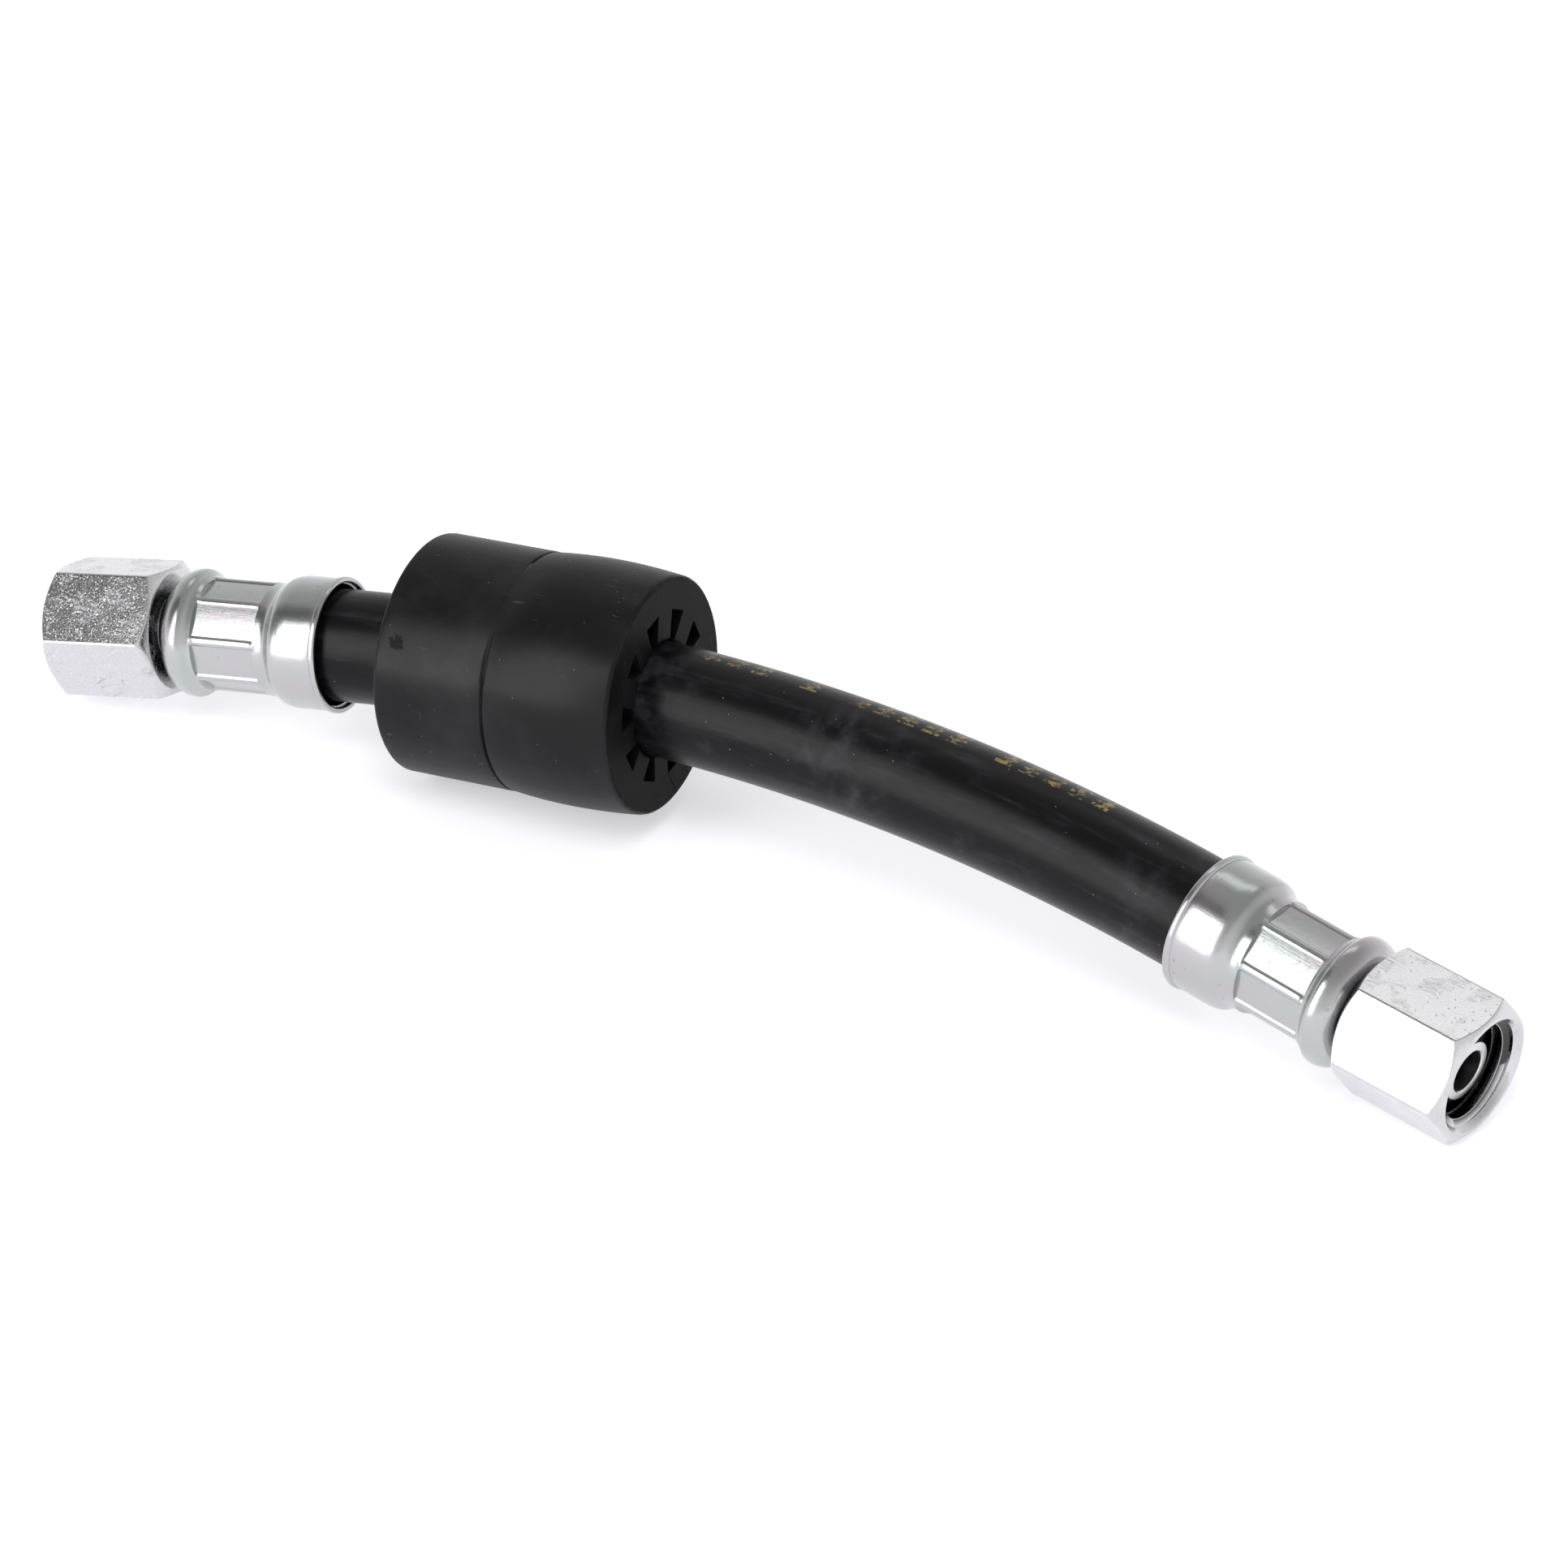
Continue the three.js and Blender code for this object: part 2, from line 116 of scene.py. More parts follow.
class BushSizes(bpy.types.PropertyGroup):
    """Sizes and colours of the split rubber bush."""

    place: millimetres("Place", "From the left ferrule's mouth to the near face", 12.9)
    length: millimetres("Length", "Length of the bush", 34.3)
    diameter: millimetres("Diameter", "Outside of the straight half", 31.9)
    barrel: millimetres("Barrel", "Outside of the other half at its middle", 32.7)
    narrow: millimetres("Narrow end", "Outside at the far face", 31.6)
    seam_share: amount("Seam", "Place of the mould seam along the bush", 0.47)
    seam_width: millimetres("Seam width", "Width of the mould seam", 0.5)
    seam_depth: millimetres("Seam depth", "Depth of the mould seam", 0.35)
    seam_start: degrees("Seam start", "Turn from the top at which the seam begins to deepen", 45)
    seam_reach: degrees("Seam reach", "Turn over which the seam deepens", 50)
    seam_left: amount("Seam left", "Share of the seam's depth that is left at the top", 0.1)
    edge: millimetres("Edge", "Round of the outer edges", 0.6)
    slots: count_of("Slots", "Wedge slots round the hose", 10)
    slot_reach: millimetres("Slot reach", "Radius of a slot's outer end", 11.3)
    slot_wide: millimetres("Slot outer width", "Width of a slot at its outer end", 3.45)
    slot_narrow: millimetres("Slot inner width", "Width of a slot at the hose", 1.4)
    turn: degrees("Turn", "Turn of the slots about the hose", 7.3)
    flare: millimetres("Bore flare", "Round of the bore's edge at both faces", 0.5)
    slit: millimetres("Slit", "Width of the slit that lets the bush open", 0.12)
    slit_slot: count_of("Slit slot", "Slot that the slit starts from", 5)
    slit_lean: degrees("Slit lean", "Angle of the slit to the radius", 17)
    gate: millimetres("Gate", "Diameter of the torn moulding gate", 2.6)
    gate_share: amount("Gate place", "Place of the gate along the bush", 0.087)
    gate_turn: degrees("Gate turn", "Place of the gate round the bush", 57.5)
    pin: millimetres("Pin", "Diameter of the ejector pin's ring", 1.2)
    pin_share: amount("Pin place", "Place of the pin's ring along the bush", 0.662)
    pin_turn: degrees("Pin turn", "Place of the pin's ring round the bush", 63.9)
    rubber: shade_of("Rubber", "Colour of the bush", (0.0045, 0.0043, 0.0049))
    dust: shade_of("Dust", "Colour of the dust on the rubber", (0.16, 0.155, 0.16))


class FerruleSizes(bpy.types.PropertyGroup):
    """Sizes and colours of the crimped ferrules."""

    length: millimetres("Length", "Length of a ferrule", 24.4)
    sheet: millimetres("Sheet", "Thickness of the sheet", 0.7)
    mouth: millimetres("Mouth", "Outside of the flared mouth", 18.25)
    bell: millimetres("Bell", "Outside of the bell", 17.75)
    bell_length: millimetres("Bell slope", "Length of the slope from the bell to the crimp", 4.2)
    bulge: millimetres("Bulge", "Outside of the bulge at the closed end", 17.3)
    bulge_length: millimetres("Bulge length", "Length of the bulge", 5.1)
    crimp_length: millimetres("Crimp length", "Length of the crimped waist", 9.3)
    crimp_flats: millimetres("Crimp flats", "Across two opposite crimp flats", 14)
    rib: millimetres("Rib", "Outside across two opposite ribs", 15.2)
    rib_width: millimetres("Rib width", "Width of a rib between two flats", 1.45)
    crimps: count_of("Crimps", "Flats round the waist", 8)
    crown: millimetres("Crown", "How much a crimp flat bulges", 0.06)
    nub: millimetres("Nub", "Rise of a rib at its two ends", 0.09)
    wall: millimetres("Step wall", "Softness of the end of a crimp flat", 0.12)
    lip: millimetres("Lip", "Length of the flared lip at the mouth", 0.8)
    bell_mid: bpy.props.FloatVectorProperty(
        name="Bell slope middle",
        description="Shares of length and drop at two points of the slope",
        default=(0.3, 0.2, 0.62, 0.9),
        size=4,
    )
    bulge_rise: amount("Bulge rise", "Share of the bulge that rises from the crimp", 0.38)
    hole: millimetres("Hole", "Hole in the closed end", 9)
    left_turn: degrees("Left turn", "Turn of the left ferrule's crimp", 19.3)
    right_turn: degrees("Right turn", "Turn of the right ferrule's crimp", 25.7)
    plate: shade_of("Plating", "Colour of the zinc plating", (0.45, 0.45, 0.46))


class NippleSizes(bpy.types.PropertyGroup):
    """Sizes and colours of the nipples."""

    tube: millimetres("Tube", "Outside of the tube end", 8)
    bore: millimetres("Bore", "Bore of the nipple", 5.5)
    collar: millimetres("Collar", "Outside of the collar in the nut's hole", 9.6)
    flange: millimetres("Flange", "Thickness of the sheet that the collar clamps", 0.6)
    shoulder: millimetres("Shoulder", "Outside of the shoulder that holds the nut", 11)
    shoulder_length: millimetres("Shoulder length", "Length of the shoulder", 1.2)
    cone: degrees("Cone", "Full angle of the sealing cone", 24)
    chamfer: millimetres("Chamfer", "Chamfer of the tube's end", 0.35)
    bore_edge: millimetres("Bore edge", "Chamfer of the bore at the tube's end", 0.15)
    tail: millimetres("Tail", "Outside of the barbed tail", 8)
    barb: millimetres("Barb", "Depth of a barb", 0.25)
    barbs: count_of("Barbs", "Barbs on the tail", 4)
    barb_pitch: millimetres("Barb pitch", "Distance between two barbs", 3.6)
    # Painted shade: the bore is darkened from this depth behind the tube's end, over the dark reach below.
    painted_shade_start: millimetres("Dark start", "From the tube's end to where its bore starts to darken", 0.3)
    dark_reach: millimetres("Dark reach", "From there to full darkness", 2.4)
    sides: count_of("Sides", "Sides of a nipple", 72)
    steel: shade_of("Steel", "Colour of the turned steel", (0.66, 0.66, 0.66))


class NutSizes(bpy.types.PropertyGroup):
    """Sizes and colours of the union nuts."""

    flats: millimetres("Across flats", "Across two opposite flats", 17)
    length: millimetres("Length", "Length of a nut", 16.5)
    behind: millimetres("Behind", "Gap between a ferrule and its nut", 0.7)
    face: millimetres("Face", "Outside of the ring face", 16.2)
    chamfer: degrees("Chamfer", "Slope of the corners' chamfer", 36)
    back_wall: millimetres("Back wall", "Thickness of the wall behind the thread", 3.4)
    hole: millimetres("Hole", "Hole in the back wall", 10.2)
    corner: millimetres("Corner", "Round of the hexagon's corners", 0.45)
    bevel: millimetres("Bevel", "Width of the bevel where a flat meets a chamfer", 0.14)
    mouth: millimetres("Mouth", "Countersink at the face", 15.2)
    mouth_depth: millimetres("Mouth depth", "Depth of the countersink", 0.8)
    thread: millimetres("Thread", "Thread's major diameter", 14)
    thread_depth: millimetres("Thread depth", "Depth of the thread", 0.82)
    thread_pitch: millimetres("Thread pitch", "Distance between two turns", 1.5)
    thread_start: millimetres("Thread start", "From the back wall to the thread", 1.2)
    thread_end: millimetres("Thread end", "From the countersink to the thread", 0.25)
    front_to_tube: millimetres("Front to tube", "From the nut's front to the tube's end", 2.2)
    # Painted shade: the bore is darkened from this depth behind the front, over the dark reach below.
    painted_shade_start: millimetres("Dark start", "From the front to where the bore starts to darken", 1.6)
    dark_reach: millimetres("Dark reach", "From there to full darkness", 2.6)
    left_turn: degrees("Left turn", "Turn of the left nut", -17.1)
    right_turn: degrees("Right turn", "Turn of the right nut", -21.4)
    left_droop: degrees("Left droop", "Droop of the left nut's outer end", 2.5)
    right_droop: degrees("Right droop", "Droop of the right nut's outer end", -2)
    plate: shade_of("Plating", "Colour of the nut's plating", (0.6, 0.6, 0.61))
    right_calm: amount("Right calm", "Grain missing on the right nut", 0.65)


class StageSizes(bpy.types.PropertyGroup):
    """Camera, lamps and floor."""

    azimuth: degrees("Azimuth", "Direction of the camera", 31.43)
    elevation: degrees("Elevation", "Height of the camera above the ground", 30.82)
    distance: millimetres("Distance", "From the camera to the point it looks at", 727.68)
    target: bpy.props.FloatVectorProperty(
        name="Target",
        description="Point that the camera looks at",
        default=(-0.00862, 0.01807, 0.00001),
        subtype="XYZ",
    )
    lens: amount("Lens", "Focal length of the camera", 126.23, "DISTANCE_CAMERA")
    floor: shade_of("Floor", "Colour of the floor", (0.88, 0.87, 0.93))
    room: shade_of("Room", "Colour of the room's light", (1.0, 1.0, 1.0))
    horizon: amount("Horizon", "Brightness of the room at the horizon", 0.95)
    ceiling: amount("Ceiling", "Brightness of the room overhead", 0.45)
    dark_azimuth: degrees("Dark azimuth", "Direction of the room's dark part", -52)
    dark_elevation: degrees("Dark elevation", "Height of the room's dark part", 40)
    dark_reach: degrees("Dark reach", "Angle from the dark part's middle to its edge", 32)
    dark_share: amount("Dark share", "Light left in the dark part", 0.3)
    floor_glow: amount("Floor glow", "Paleness added to the floor as seen", 0.42)


# Shader helpers


class Term:
    """A shader value that arithmetic in Python turns into maths nodes."""

    def __init__(self, shade, socket):
        self.shade = shade
        self.socket = socket

    def maths(self, operation, *others):
        return self.shade.maths(operation, self, *others)

    def __add__(self, other):
        return self.maths("ADD", other)

    __radd__ = __add__

    def __sub__(self, other):
        return self.maths("SUBTRACT", other)

    def __rsub__(self, other):
        return self.shade.maths("SUBTRACT", other, self)

    def __mul__(self, other):
        return self.maths("MULTIPLY", other)

    __rmul__ = __mul__

    def __truediv__(self, other):
        return self.maths("DIVIDE", other)

    def __rtruediv__(self, other):
        return self.shade.maths("DIVIDE", other, self)

    def __abs__(self):
        return self.maths("ABSOLUTE")

    def rises(self, low, high):
        """0 below low and 1 above high, smooth between; turned round when low is the larger."""
        start, end, first, last = (low, high, 0, 1) if low < high else (high, low, 1, 0)
        settings = {"interpolation_type": "SMOOTHSTEP"}
        sockets = {"Value": self, "From Min": start, "From Max": end, "To Min": first, "To Max": last}
        return self.shade.node("ShaderNodeMapRange", settings, sockets)

    def split(self):
        """The three parts of a vector or colour."""
        made = self.shade.node("ShaderNodeSeparateXYZ", {}, {"Vector": self})
        return [Term(self.shade, socket) for socket in made.socket.node.outputs]


class Shade:
    """Builds one material from expressions."""

    def __init__(self, name, **constants):
        self.material = bpy.data.materials.new(name)
        self.material.use_nodes = True
        self.tree = self.material.node_tree
        self.bsdf = self.tree.nodes["Principled BSDF"]
        for socket, value in constants.items():
            self.bsdf.inputs[socket.replace("_", " ")].default_value = value

    def feed(self, socket, value):
        if isinstance(value, Term):
            self.tree.links.new(value.socket, socket)
        elif socket.type == "RGBA":
            socket.default_value = (*value, 1)
        else:
            socket.default_value = value

    def node(self, kind, settings=None, sockets=None, output=0):
        """Any node: its type, its settings and the values of its sockets."""
        made = self.tree.nodes.new(kind)
        for name, value in (settings or {}).items():
            setattr(made, name, value)
        for name, value in (sockets or {}).items():
            self.feed(made.inputs[name], value)
        return Term(self, made.outputs[output])

    def maths(self, operation, *values):
        return self.node("ShaderNodeMath", {"operation": operation}, dict(enumerate(values)))

    def vector(self, operation, *values):
        return self.node("ShaderNodeVectorMath", {"operation": operation}, dict(enumerate(values)))

    def mix(self, factor, first, second):
        settings = {"data_type": "RGBA"}
        return self.node("ShaderNodeMix", settings, {0: factor, 6: first, 7: second}, output=2)

    def place(self):
        return self.node("ShaderNodeTexCoord", output=3)

    def map(self):
        return self.node("ShaderNodeUVMap", {"uv_map": "UVMap"})

    def mark(self, name):
        """A number that the mesh carries at each point."""
        return self.node("ShaderNodeAttribute", {"attribute_name": name}, output=2)

    def noise(self, place, scale, detail=3.0, roughness=0.5):
        sockets = {"Vector": place, "Scale": scale, "Detail": detail, "Roughness": roughness}
        return self.node("ShaderNodeTexNoise", {}, sockets)

    def stretched(self, place, turn, scale):
        sockets = {"Vector": place, "Rotation": turn, "Scale": scale}
        return self.node("ShaderNodeMapping", {}, sockets)

    def specks(self, place, scale, size, share):
        """Small round dots, one in some of the cells of a grid."""
        cells = self.node("ShaderNodeTexVoronoi", {}, {"Vector": place, "Scale": scale})
        chosen = Term(self, cells.socket.node.outputs["Color"]).split()[0].rises(share, share * 0.98)
        return cells.rises(size, size * 0.5) * chosen

    def bump(self, height, distance, strength=1.0, normal=None):
        sockets = {"Height": height, "Distance": distance, "Strength": strength}
        if normal is not None:
            sockets["Normal"] = normal
        return self.node("ShaderNodeBump", {}, sockets)

    def finish(self, **outputs):
        for socket, value in outputs.items():
            self.feed(self.bsdf.inputs[socket.replace("_", " ")], value)
        return self.material


# Mesh helpers


def skin(name, grid, closed_around):
    """A mesh through a closed loop of rows of points, mapped by length along the loop and by column."""
    rows, columns = grid.shape[:2]
    flat = grid.reshape(-1, 3)
    steps = np.linalg.norm(np.diff(grid, axis=0, append=grid[:1]), axis=2).mean(axis=1)
    along = np.concatenate([[0], np.cumsum(steps)])
    faces = []
    corners = []
    for i in range(rows):
        below = (i + 1) % rows
        for j in range(columns if closed_around else columns - 1):
            beside = (j + 1) % columns
            around = ((i, j), (below, j), (below, beside), (i, beside))
            faces.append([row * columns + column for row, column in around])
            corners.extend([(i, j), (i + 1, j), (i + 1, j + 1), (i, j + 1)])
    mesh = bpy.data.meshes.new(name)
    mesh.from_pydata([tuple(point) for point in flat], [], faces)
    layer = mesh.uv_layers.new(name="UVMap")
    for loop, (i, j) in zip(layer.data, corners):
        loop.uv = (along[i], j / columns)
    return mesh


def place_object(name, mesh):
    thing = bpy.data.objects.new(name, mesh)
    bpy.context.scene.collection.objects.link(thing)
    return thing


def outward(mesh, sharp):
    """Doubles merged, faces outwards, smooth but for the sharp edges."""
    work = bmesh.new()
    work.from_mesh(mesh)
    bmesh.ops.remove_doubles(work, verts=work.verts, dist=DOUBLES)
    bmesh.ops.recalc_face_normals(work, faces=work.faces)
    if work.calc_volume(signed=True) < 0:
        bmesh.ops.reverse_faces(work, faces=work.faces)
    work.to_mesh(mesh)
    work.free()
    mesh.shade_smooth()
    mesh.set_sharp_from_angle(angle=math.radians(sharp))


def new_tree(name, inputs):
    """A Geometry Nodes tree with named inputs after its geometry."""
    tree = bpy.data.node_groups.new(name, "GeometryNodeTree")
    tree.interface.new_socket(name="Geometry", in_out="INPUT", socket_type="NodeSocketGeometry")
    tree.interface.new_socket(name="Geometry", in_out="OUTPUT", socket_type="NodeSocketGeometry")
    for label, kind in inputs:
        tree.interface.new_socket(name=label, in_out="INPUT", socket_type=kind)
    return tree


def joined(tree, kind, links=None, settings=None, values=None):
    """A node with its settings, its socket values and what feeds it."""
    node = tree.nodes.new(kind)
    for name, value in (settings or {}).items():
        setattr(node, name, value)
    for name, value in (values or {}).items():
        node.inputs[name].default_value = value
    for name, source in (links or {}).items():
        tree.links.new(source, node.inputs[name])
    return node


def tree_maths(tree, operation, first, second):
    """The result of a maths node fed by a socket, and by another socket or a number."""
    node = joined(tree, "ShaderNodeMath", {0: first}, {"operation": operation})
    if isinstance(second, bpy.types.NodeSocket):
        tree.links.new(second, node.inputs[1])
    else:
        node.inputs[1].default_value = second
    return node.outputs[0]


def smooth_range(tree, value, given, wanted):
    """A value taken smoothly from one range to another, and held at its ends."""
    values = dict(zip(("From Min", "From Max", "To Min", "To Max"), (*given, *wanted)))
    settings = {"interpolation_type": "SMOOTHSTEP"}
    return joined(tree, "ShaderNodeMapRange", {"Value": value}, settings, values).outputs[0]


def closing(tree, geometry, material):
    """Ends a tree in real geometry with its material."""
    real = joined(tree, "GeometryNodeRealizeInstances", {"Geometry": geometry})
    dressed = joined(tree, "GeometryNodeSetMaterial", {"Geometry": real.outputs[0], "Material": material})
    joined(tree, "NodeGroupOutput", {"Geometry": dressed.outputs[0]})
    return tree


def grown(name, source, tree, values, sharp, transform):
    """The plain mesh that a tree makes of a source object, set in its place."""
    modifier = source.modifiers.new("Shape", "NODES")
    modifier.node_group = tree
    for item in tree.interface.items_tree:
        if item.in_out == "INPUT" and item.name in values:
            modifier[item.identifier] = values[item.name]
    bpy.context.view_layer.update()
    graph = bpy.context.evaluated_depsgraph_get()
    mesh = bpy.data.meshes.new_from_object(source.evaluated_get(graph), depsgraph=graph)
    if not mesh.vertices:
        raise RuntimeError(f"the tree of {name} made nothing")
    bpy.data.objects.remove(source)
    material = next(item for item in mesh.materials if item)
    mesh.materials.clear()
    mesh.materials.append(material)
    mesh.polygons.foreach_set("material_index", [0] * len(mesh.polygons))
    mesh.name = name
    mesh.transform(transform)
    outward(mesh, sharp)
    return place_object(name, mesh)


def ring_repeat_tree():
    """Copies a sector round the X axis and joins the copies to one skin."""
    inputs = [("Count", "NodeSocketInt"), ("Material", "NodeSocketMaterial")]
    tree = new_tree("Ring repeat", inputs)
    given = tree.nodes.new("NodeGroupInput")
    count, sector = given.outputs["Count"], given.outputs["Geometry"]
    points = joined(tree, "GeometryNodeMeshLine", {"Count": count}, values={"Offset": (0, 0, 0)})
    index = tree.nodes.new("GeometryNodeInputIndex")
    share = tree_maths(tree, "DIVIDE", index.outputs[0], count)
    angle = tree_maths(tree, "MULTIPLY", share, math.tau)
    turn = joined(tree, "ShaderNodeCombineXYZ", {"X": angle})
    links = {"Points": points.outputs[0], "Instance": sector, "Rotation": turn.outputs[0]}
    copies = joined(tree, "GeometryNodeInstanceOnPoints", links)
    real = joined(tree, "GeometryNodeRealizeInstances", {"Geometry": copies.outputs[0]})
    apart = {"Distance": DOUBLES}
    merged = joined(tree, "GeometryNodeMergeByDistance", {"Geometry": real.outputs[0]}, values=apart)
    return closing(tree, merged.outputs[0], given.outputs["Material"])


def follow_tree():
    """Sweeps a circle along a path whose points carry how much it is squeezed."""
    inputs = [
        ("Diameter", "NodeSocketFloat"),
        ("Sides", "NodeSocketInt"),
        ("Material", "NodeSocketMaterial"),
    ]
    tree = new_tree("Follow path", inputs)
    given = tree.nodes.new("NodeGroupInput")
    half = tree_maths(tree, "MULTIPLY", given.outputs["Diameter"], 0.5)
    path = joined(tree, "GeometryNodeMeshToCurve", {"Mesh": given.outputs["Geometry"]})
    squeeze = joined(tree, "GeometryNodeInputNamedAttribute", values={"Name": "squeeze"}).outputs[0]
    sized = joined(tree, "GeometryNodeSetCurveRadius", {"Curve": path.outputs[0], "Radius": squeeze})
    links = {"Resolution": given.outputs["Sides"], "Radius": half}
    circle = joined(tree, "GeometryNodeCurvePrimitiveCircle", links, {"mode": "RADIUS"})
    links = {"Curve": sized.outputs[0], "Profile Curve": circle.outputs[0], "Scale": squeeze}
    swept = joined(tree, "GeometryNodeCurveToMesh", links, values={"Fill Caps": True})
    return closing(tree, swept.outputs[0], given.outputs["Material"])


def thread_tree():
    """A helical ridge inside a bore, about the Z axis."""
    inputs = [
        ("Turns", "NodeSocketFloat"),
        ("Radius", "NodeSocketFloat"),
        ("Length", "NodeSocketFloat"),
        ("Material", "NodeSocketMaterial"),
    ]
    tree = new_tree("Inner thread", inputs)
    given = tree.nodes.new("NodeGroupInput")
    links = {
        "Rotations": given.outputs["Turns"],
        "Start Radius": given.outputs["Radius"],
        "End Radius": given.outputs["Radius"],
        "Height": given.outputs["Length"],
    }
    coil = joined(tree, "GeometryNodeCurveSpiral", links, values={"Resolution": 72})
    section = joined(tree, "GeometryNodeMeshToCurve", {"Mesh": given.outputs["Geometry"]})
    upright = joined(tree, "GeometryNodeSetCurveNormal", {"Curve": coil.outputs[0]}, {"mode": "Z_UP"})
    links = {"Curve": upright.outputs[0], "Profile Curve": section.outputs[0]}
    swept = joined(tree, "GeometryNodeCurveToMesh", links, values={"Fill Caps": True})
    return closing(tree, swept.outputs[0], given.outputs["Material"])


# The run of the hose


class Run:
    """The line of the hose, set in the frame by its two nut joints."""

    def __init__(self, scene):
        sizes = scene.hose_sizes
        self.length = sizes.free_length
        self.radius = sizes.free_length / sizes.bend
        self.toward = Vector((0, -math.cos(sizes.bend_lean), -math.sin(sizes.bend_lean)))
        self.axis = Vector((1, 0, 0)).cross(self.toward)
        nut = scene.nut_sizes
        self.pivot = scene.ferrule_sizes.length + nut.behind + nut.back_wall / 2
        joints = {joint["name"]: Vector(joint["pos_m"]) for joint in frame["record"]["behaviour"]["joints"]}
        self.level = Matrix.Identity(4)
        left = self.fitting("left") @ Vector((self.pivot, 0, 0))
        right = self.fitting("right") @ Vector((self.pivot, 0, 0))
        chord = right - left
        wanted = joints["right_nut_turn"] - joints["left_nut_turn"]
        tilt = math.atan2(chord.z, chord.x) - math.atan2(wanted.z, wanted.x)
        self.level = Matrix.Rotation(tilt, 4, "Y")
        self.level = Matrix.Translation(joints["left_nut_turn"] - self.level @ left) @ self.level

    def station(self, distance):
        """The place and direction of the line at a distance from the left ferrule's mouth."""
        from_middle = distance - self.length / 2
        in_bend = max(-self.length / 2, min(self.length / 2, from_middle))
        turn = Matrix.Rotation(in_bend / self.radius, 4, self.axis)
        place = self.toward * self.radius - turn @ (self.toward * self.radius)
        place += turn @ Vector((from_middle - in_bend, 0, 0))
        return self.level @ Matrix.Translation(place) @ turn

    def fitting(self, side):
        """The place of a fitting, whose +X points from its ferrule's mouth out to its nut."""
        if side == "left":
            return self.station(0) @ Matrix.Rotation(math.pi, 4, "Z")
        return self.station(self.length)


def ferrule_outline(sizes, inside):
    """The wall of a ferrule from its mouth to its closed end, as lengths and radii."""
    wall = sizes.sheet if inside else 0
    end = sizes.length - wall
    crimp_end = sizes.length - sizes.bulge_length
    crimp_start = crimp_end - sizes.crimp_length
    shoulder = crimp_start - sizes.bell_length
    waist = sizes.crimp_flats / 2 - wall if inside else sizes.rib / 2
    mouth, bell, bulge = (size / 2 - wall for size in (sizes.mouth, sizes.bell, sizes.bulge))
    step = mouth - bell
    lip = [(0, mouth), (sizes.lip - step * 0.4, mouth), (sizes.lip, mouth - step * 0.25)]
    lip += [(sizes.lip + step * 0.4, bell), (sizes.lip + step * 0.7, bell - step * 0.15)]
    lip += [(sizes.lip + step * 1.6, bell)]
    body = [(x, bell) for x in np.linspace(lip[-1][0], shoulder, 6)[1:-1]]
    first_x, first_drop, second_x, second_drop = sizes.bell_mid
    slope = [(shoulder, bell)]
    slope += [(shoulder + sizes.bell_length * first_x, bell - (bell - waist) * first_drop)]
    slope += [(shoulder + sizes.bell_length * second_x, bell - (bell - waist) * second_drop)]
    slope += [(crimp_start, waist)]
    crimp = [(x, waist) for x in np.linspace(crimp_start, crimp_end, 25)[1:-1]]
    top = crimp_end + sizes.bulge_length * sizes.bulge_rise
    ease = (crimp_end + top) / 2
    rise = bezier((crimp_end, waist), (ease, waist), (ease, bulge), (top, bulge), 14)
    fall = bulge - sizes.hole / 2
    turned = (top + (end - top) * 0.6, bulge)
    closed = bezier((top, bulge), turned, (end, bulge - fall * 0.35), (end, bulge - fall * 0.75), 20)
    return [*lip, *body, *smooth_line(slope, 12), *crimp, *rise, *closed[1:], (end, sizes.hole / 2)]


def bezier(a, b, c, d, steps):
    """Points of a cubic curve, both ends included."""
    found = []
    for i in range(steps + 1):
        t = i / steps
        weights = ((1 - t) ** 3, 3 * t * (1 - t) ** 2, 3 * t * t * (1 - t), t**3)
        found.append(tuple(sum(w * p[k] for w, p in zip(weights, (a, b, c, d))) for k in (0, 1)))
    return found


def smooth_line(points, steps):
    """An even curve through the points."""
    padded = np.array([points[0], *points, points[-1]])
    found = []
    for a, b, c, d in zip(padded, padded[1:], padded[2:], padded[3:]):
        for i in range(steps):
            t = i / steps
            spot = b + (c - a) * t / 2 + (a - 2.5 * b + 2 * c - d / 2) * t * t
            found.append(tuple(spot + (1.5 * b - a / 2 - 1.5 * c + d / 2) * t**3))
    return [*found, points[-1]]


def about_x(lengths, radii, angles):
    """Points from lengths along X, radii and angles from +Z towards -Y."""
    return np.stack([lengths, -radii * np.sin(angles), radii * np.cos(angles)], axis=-1)


# Materials


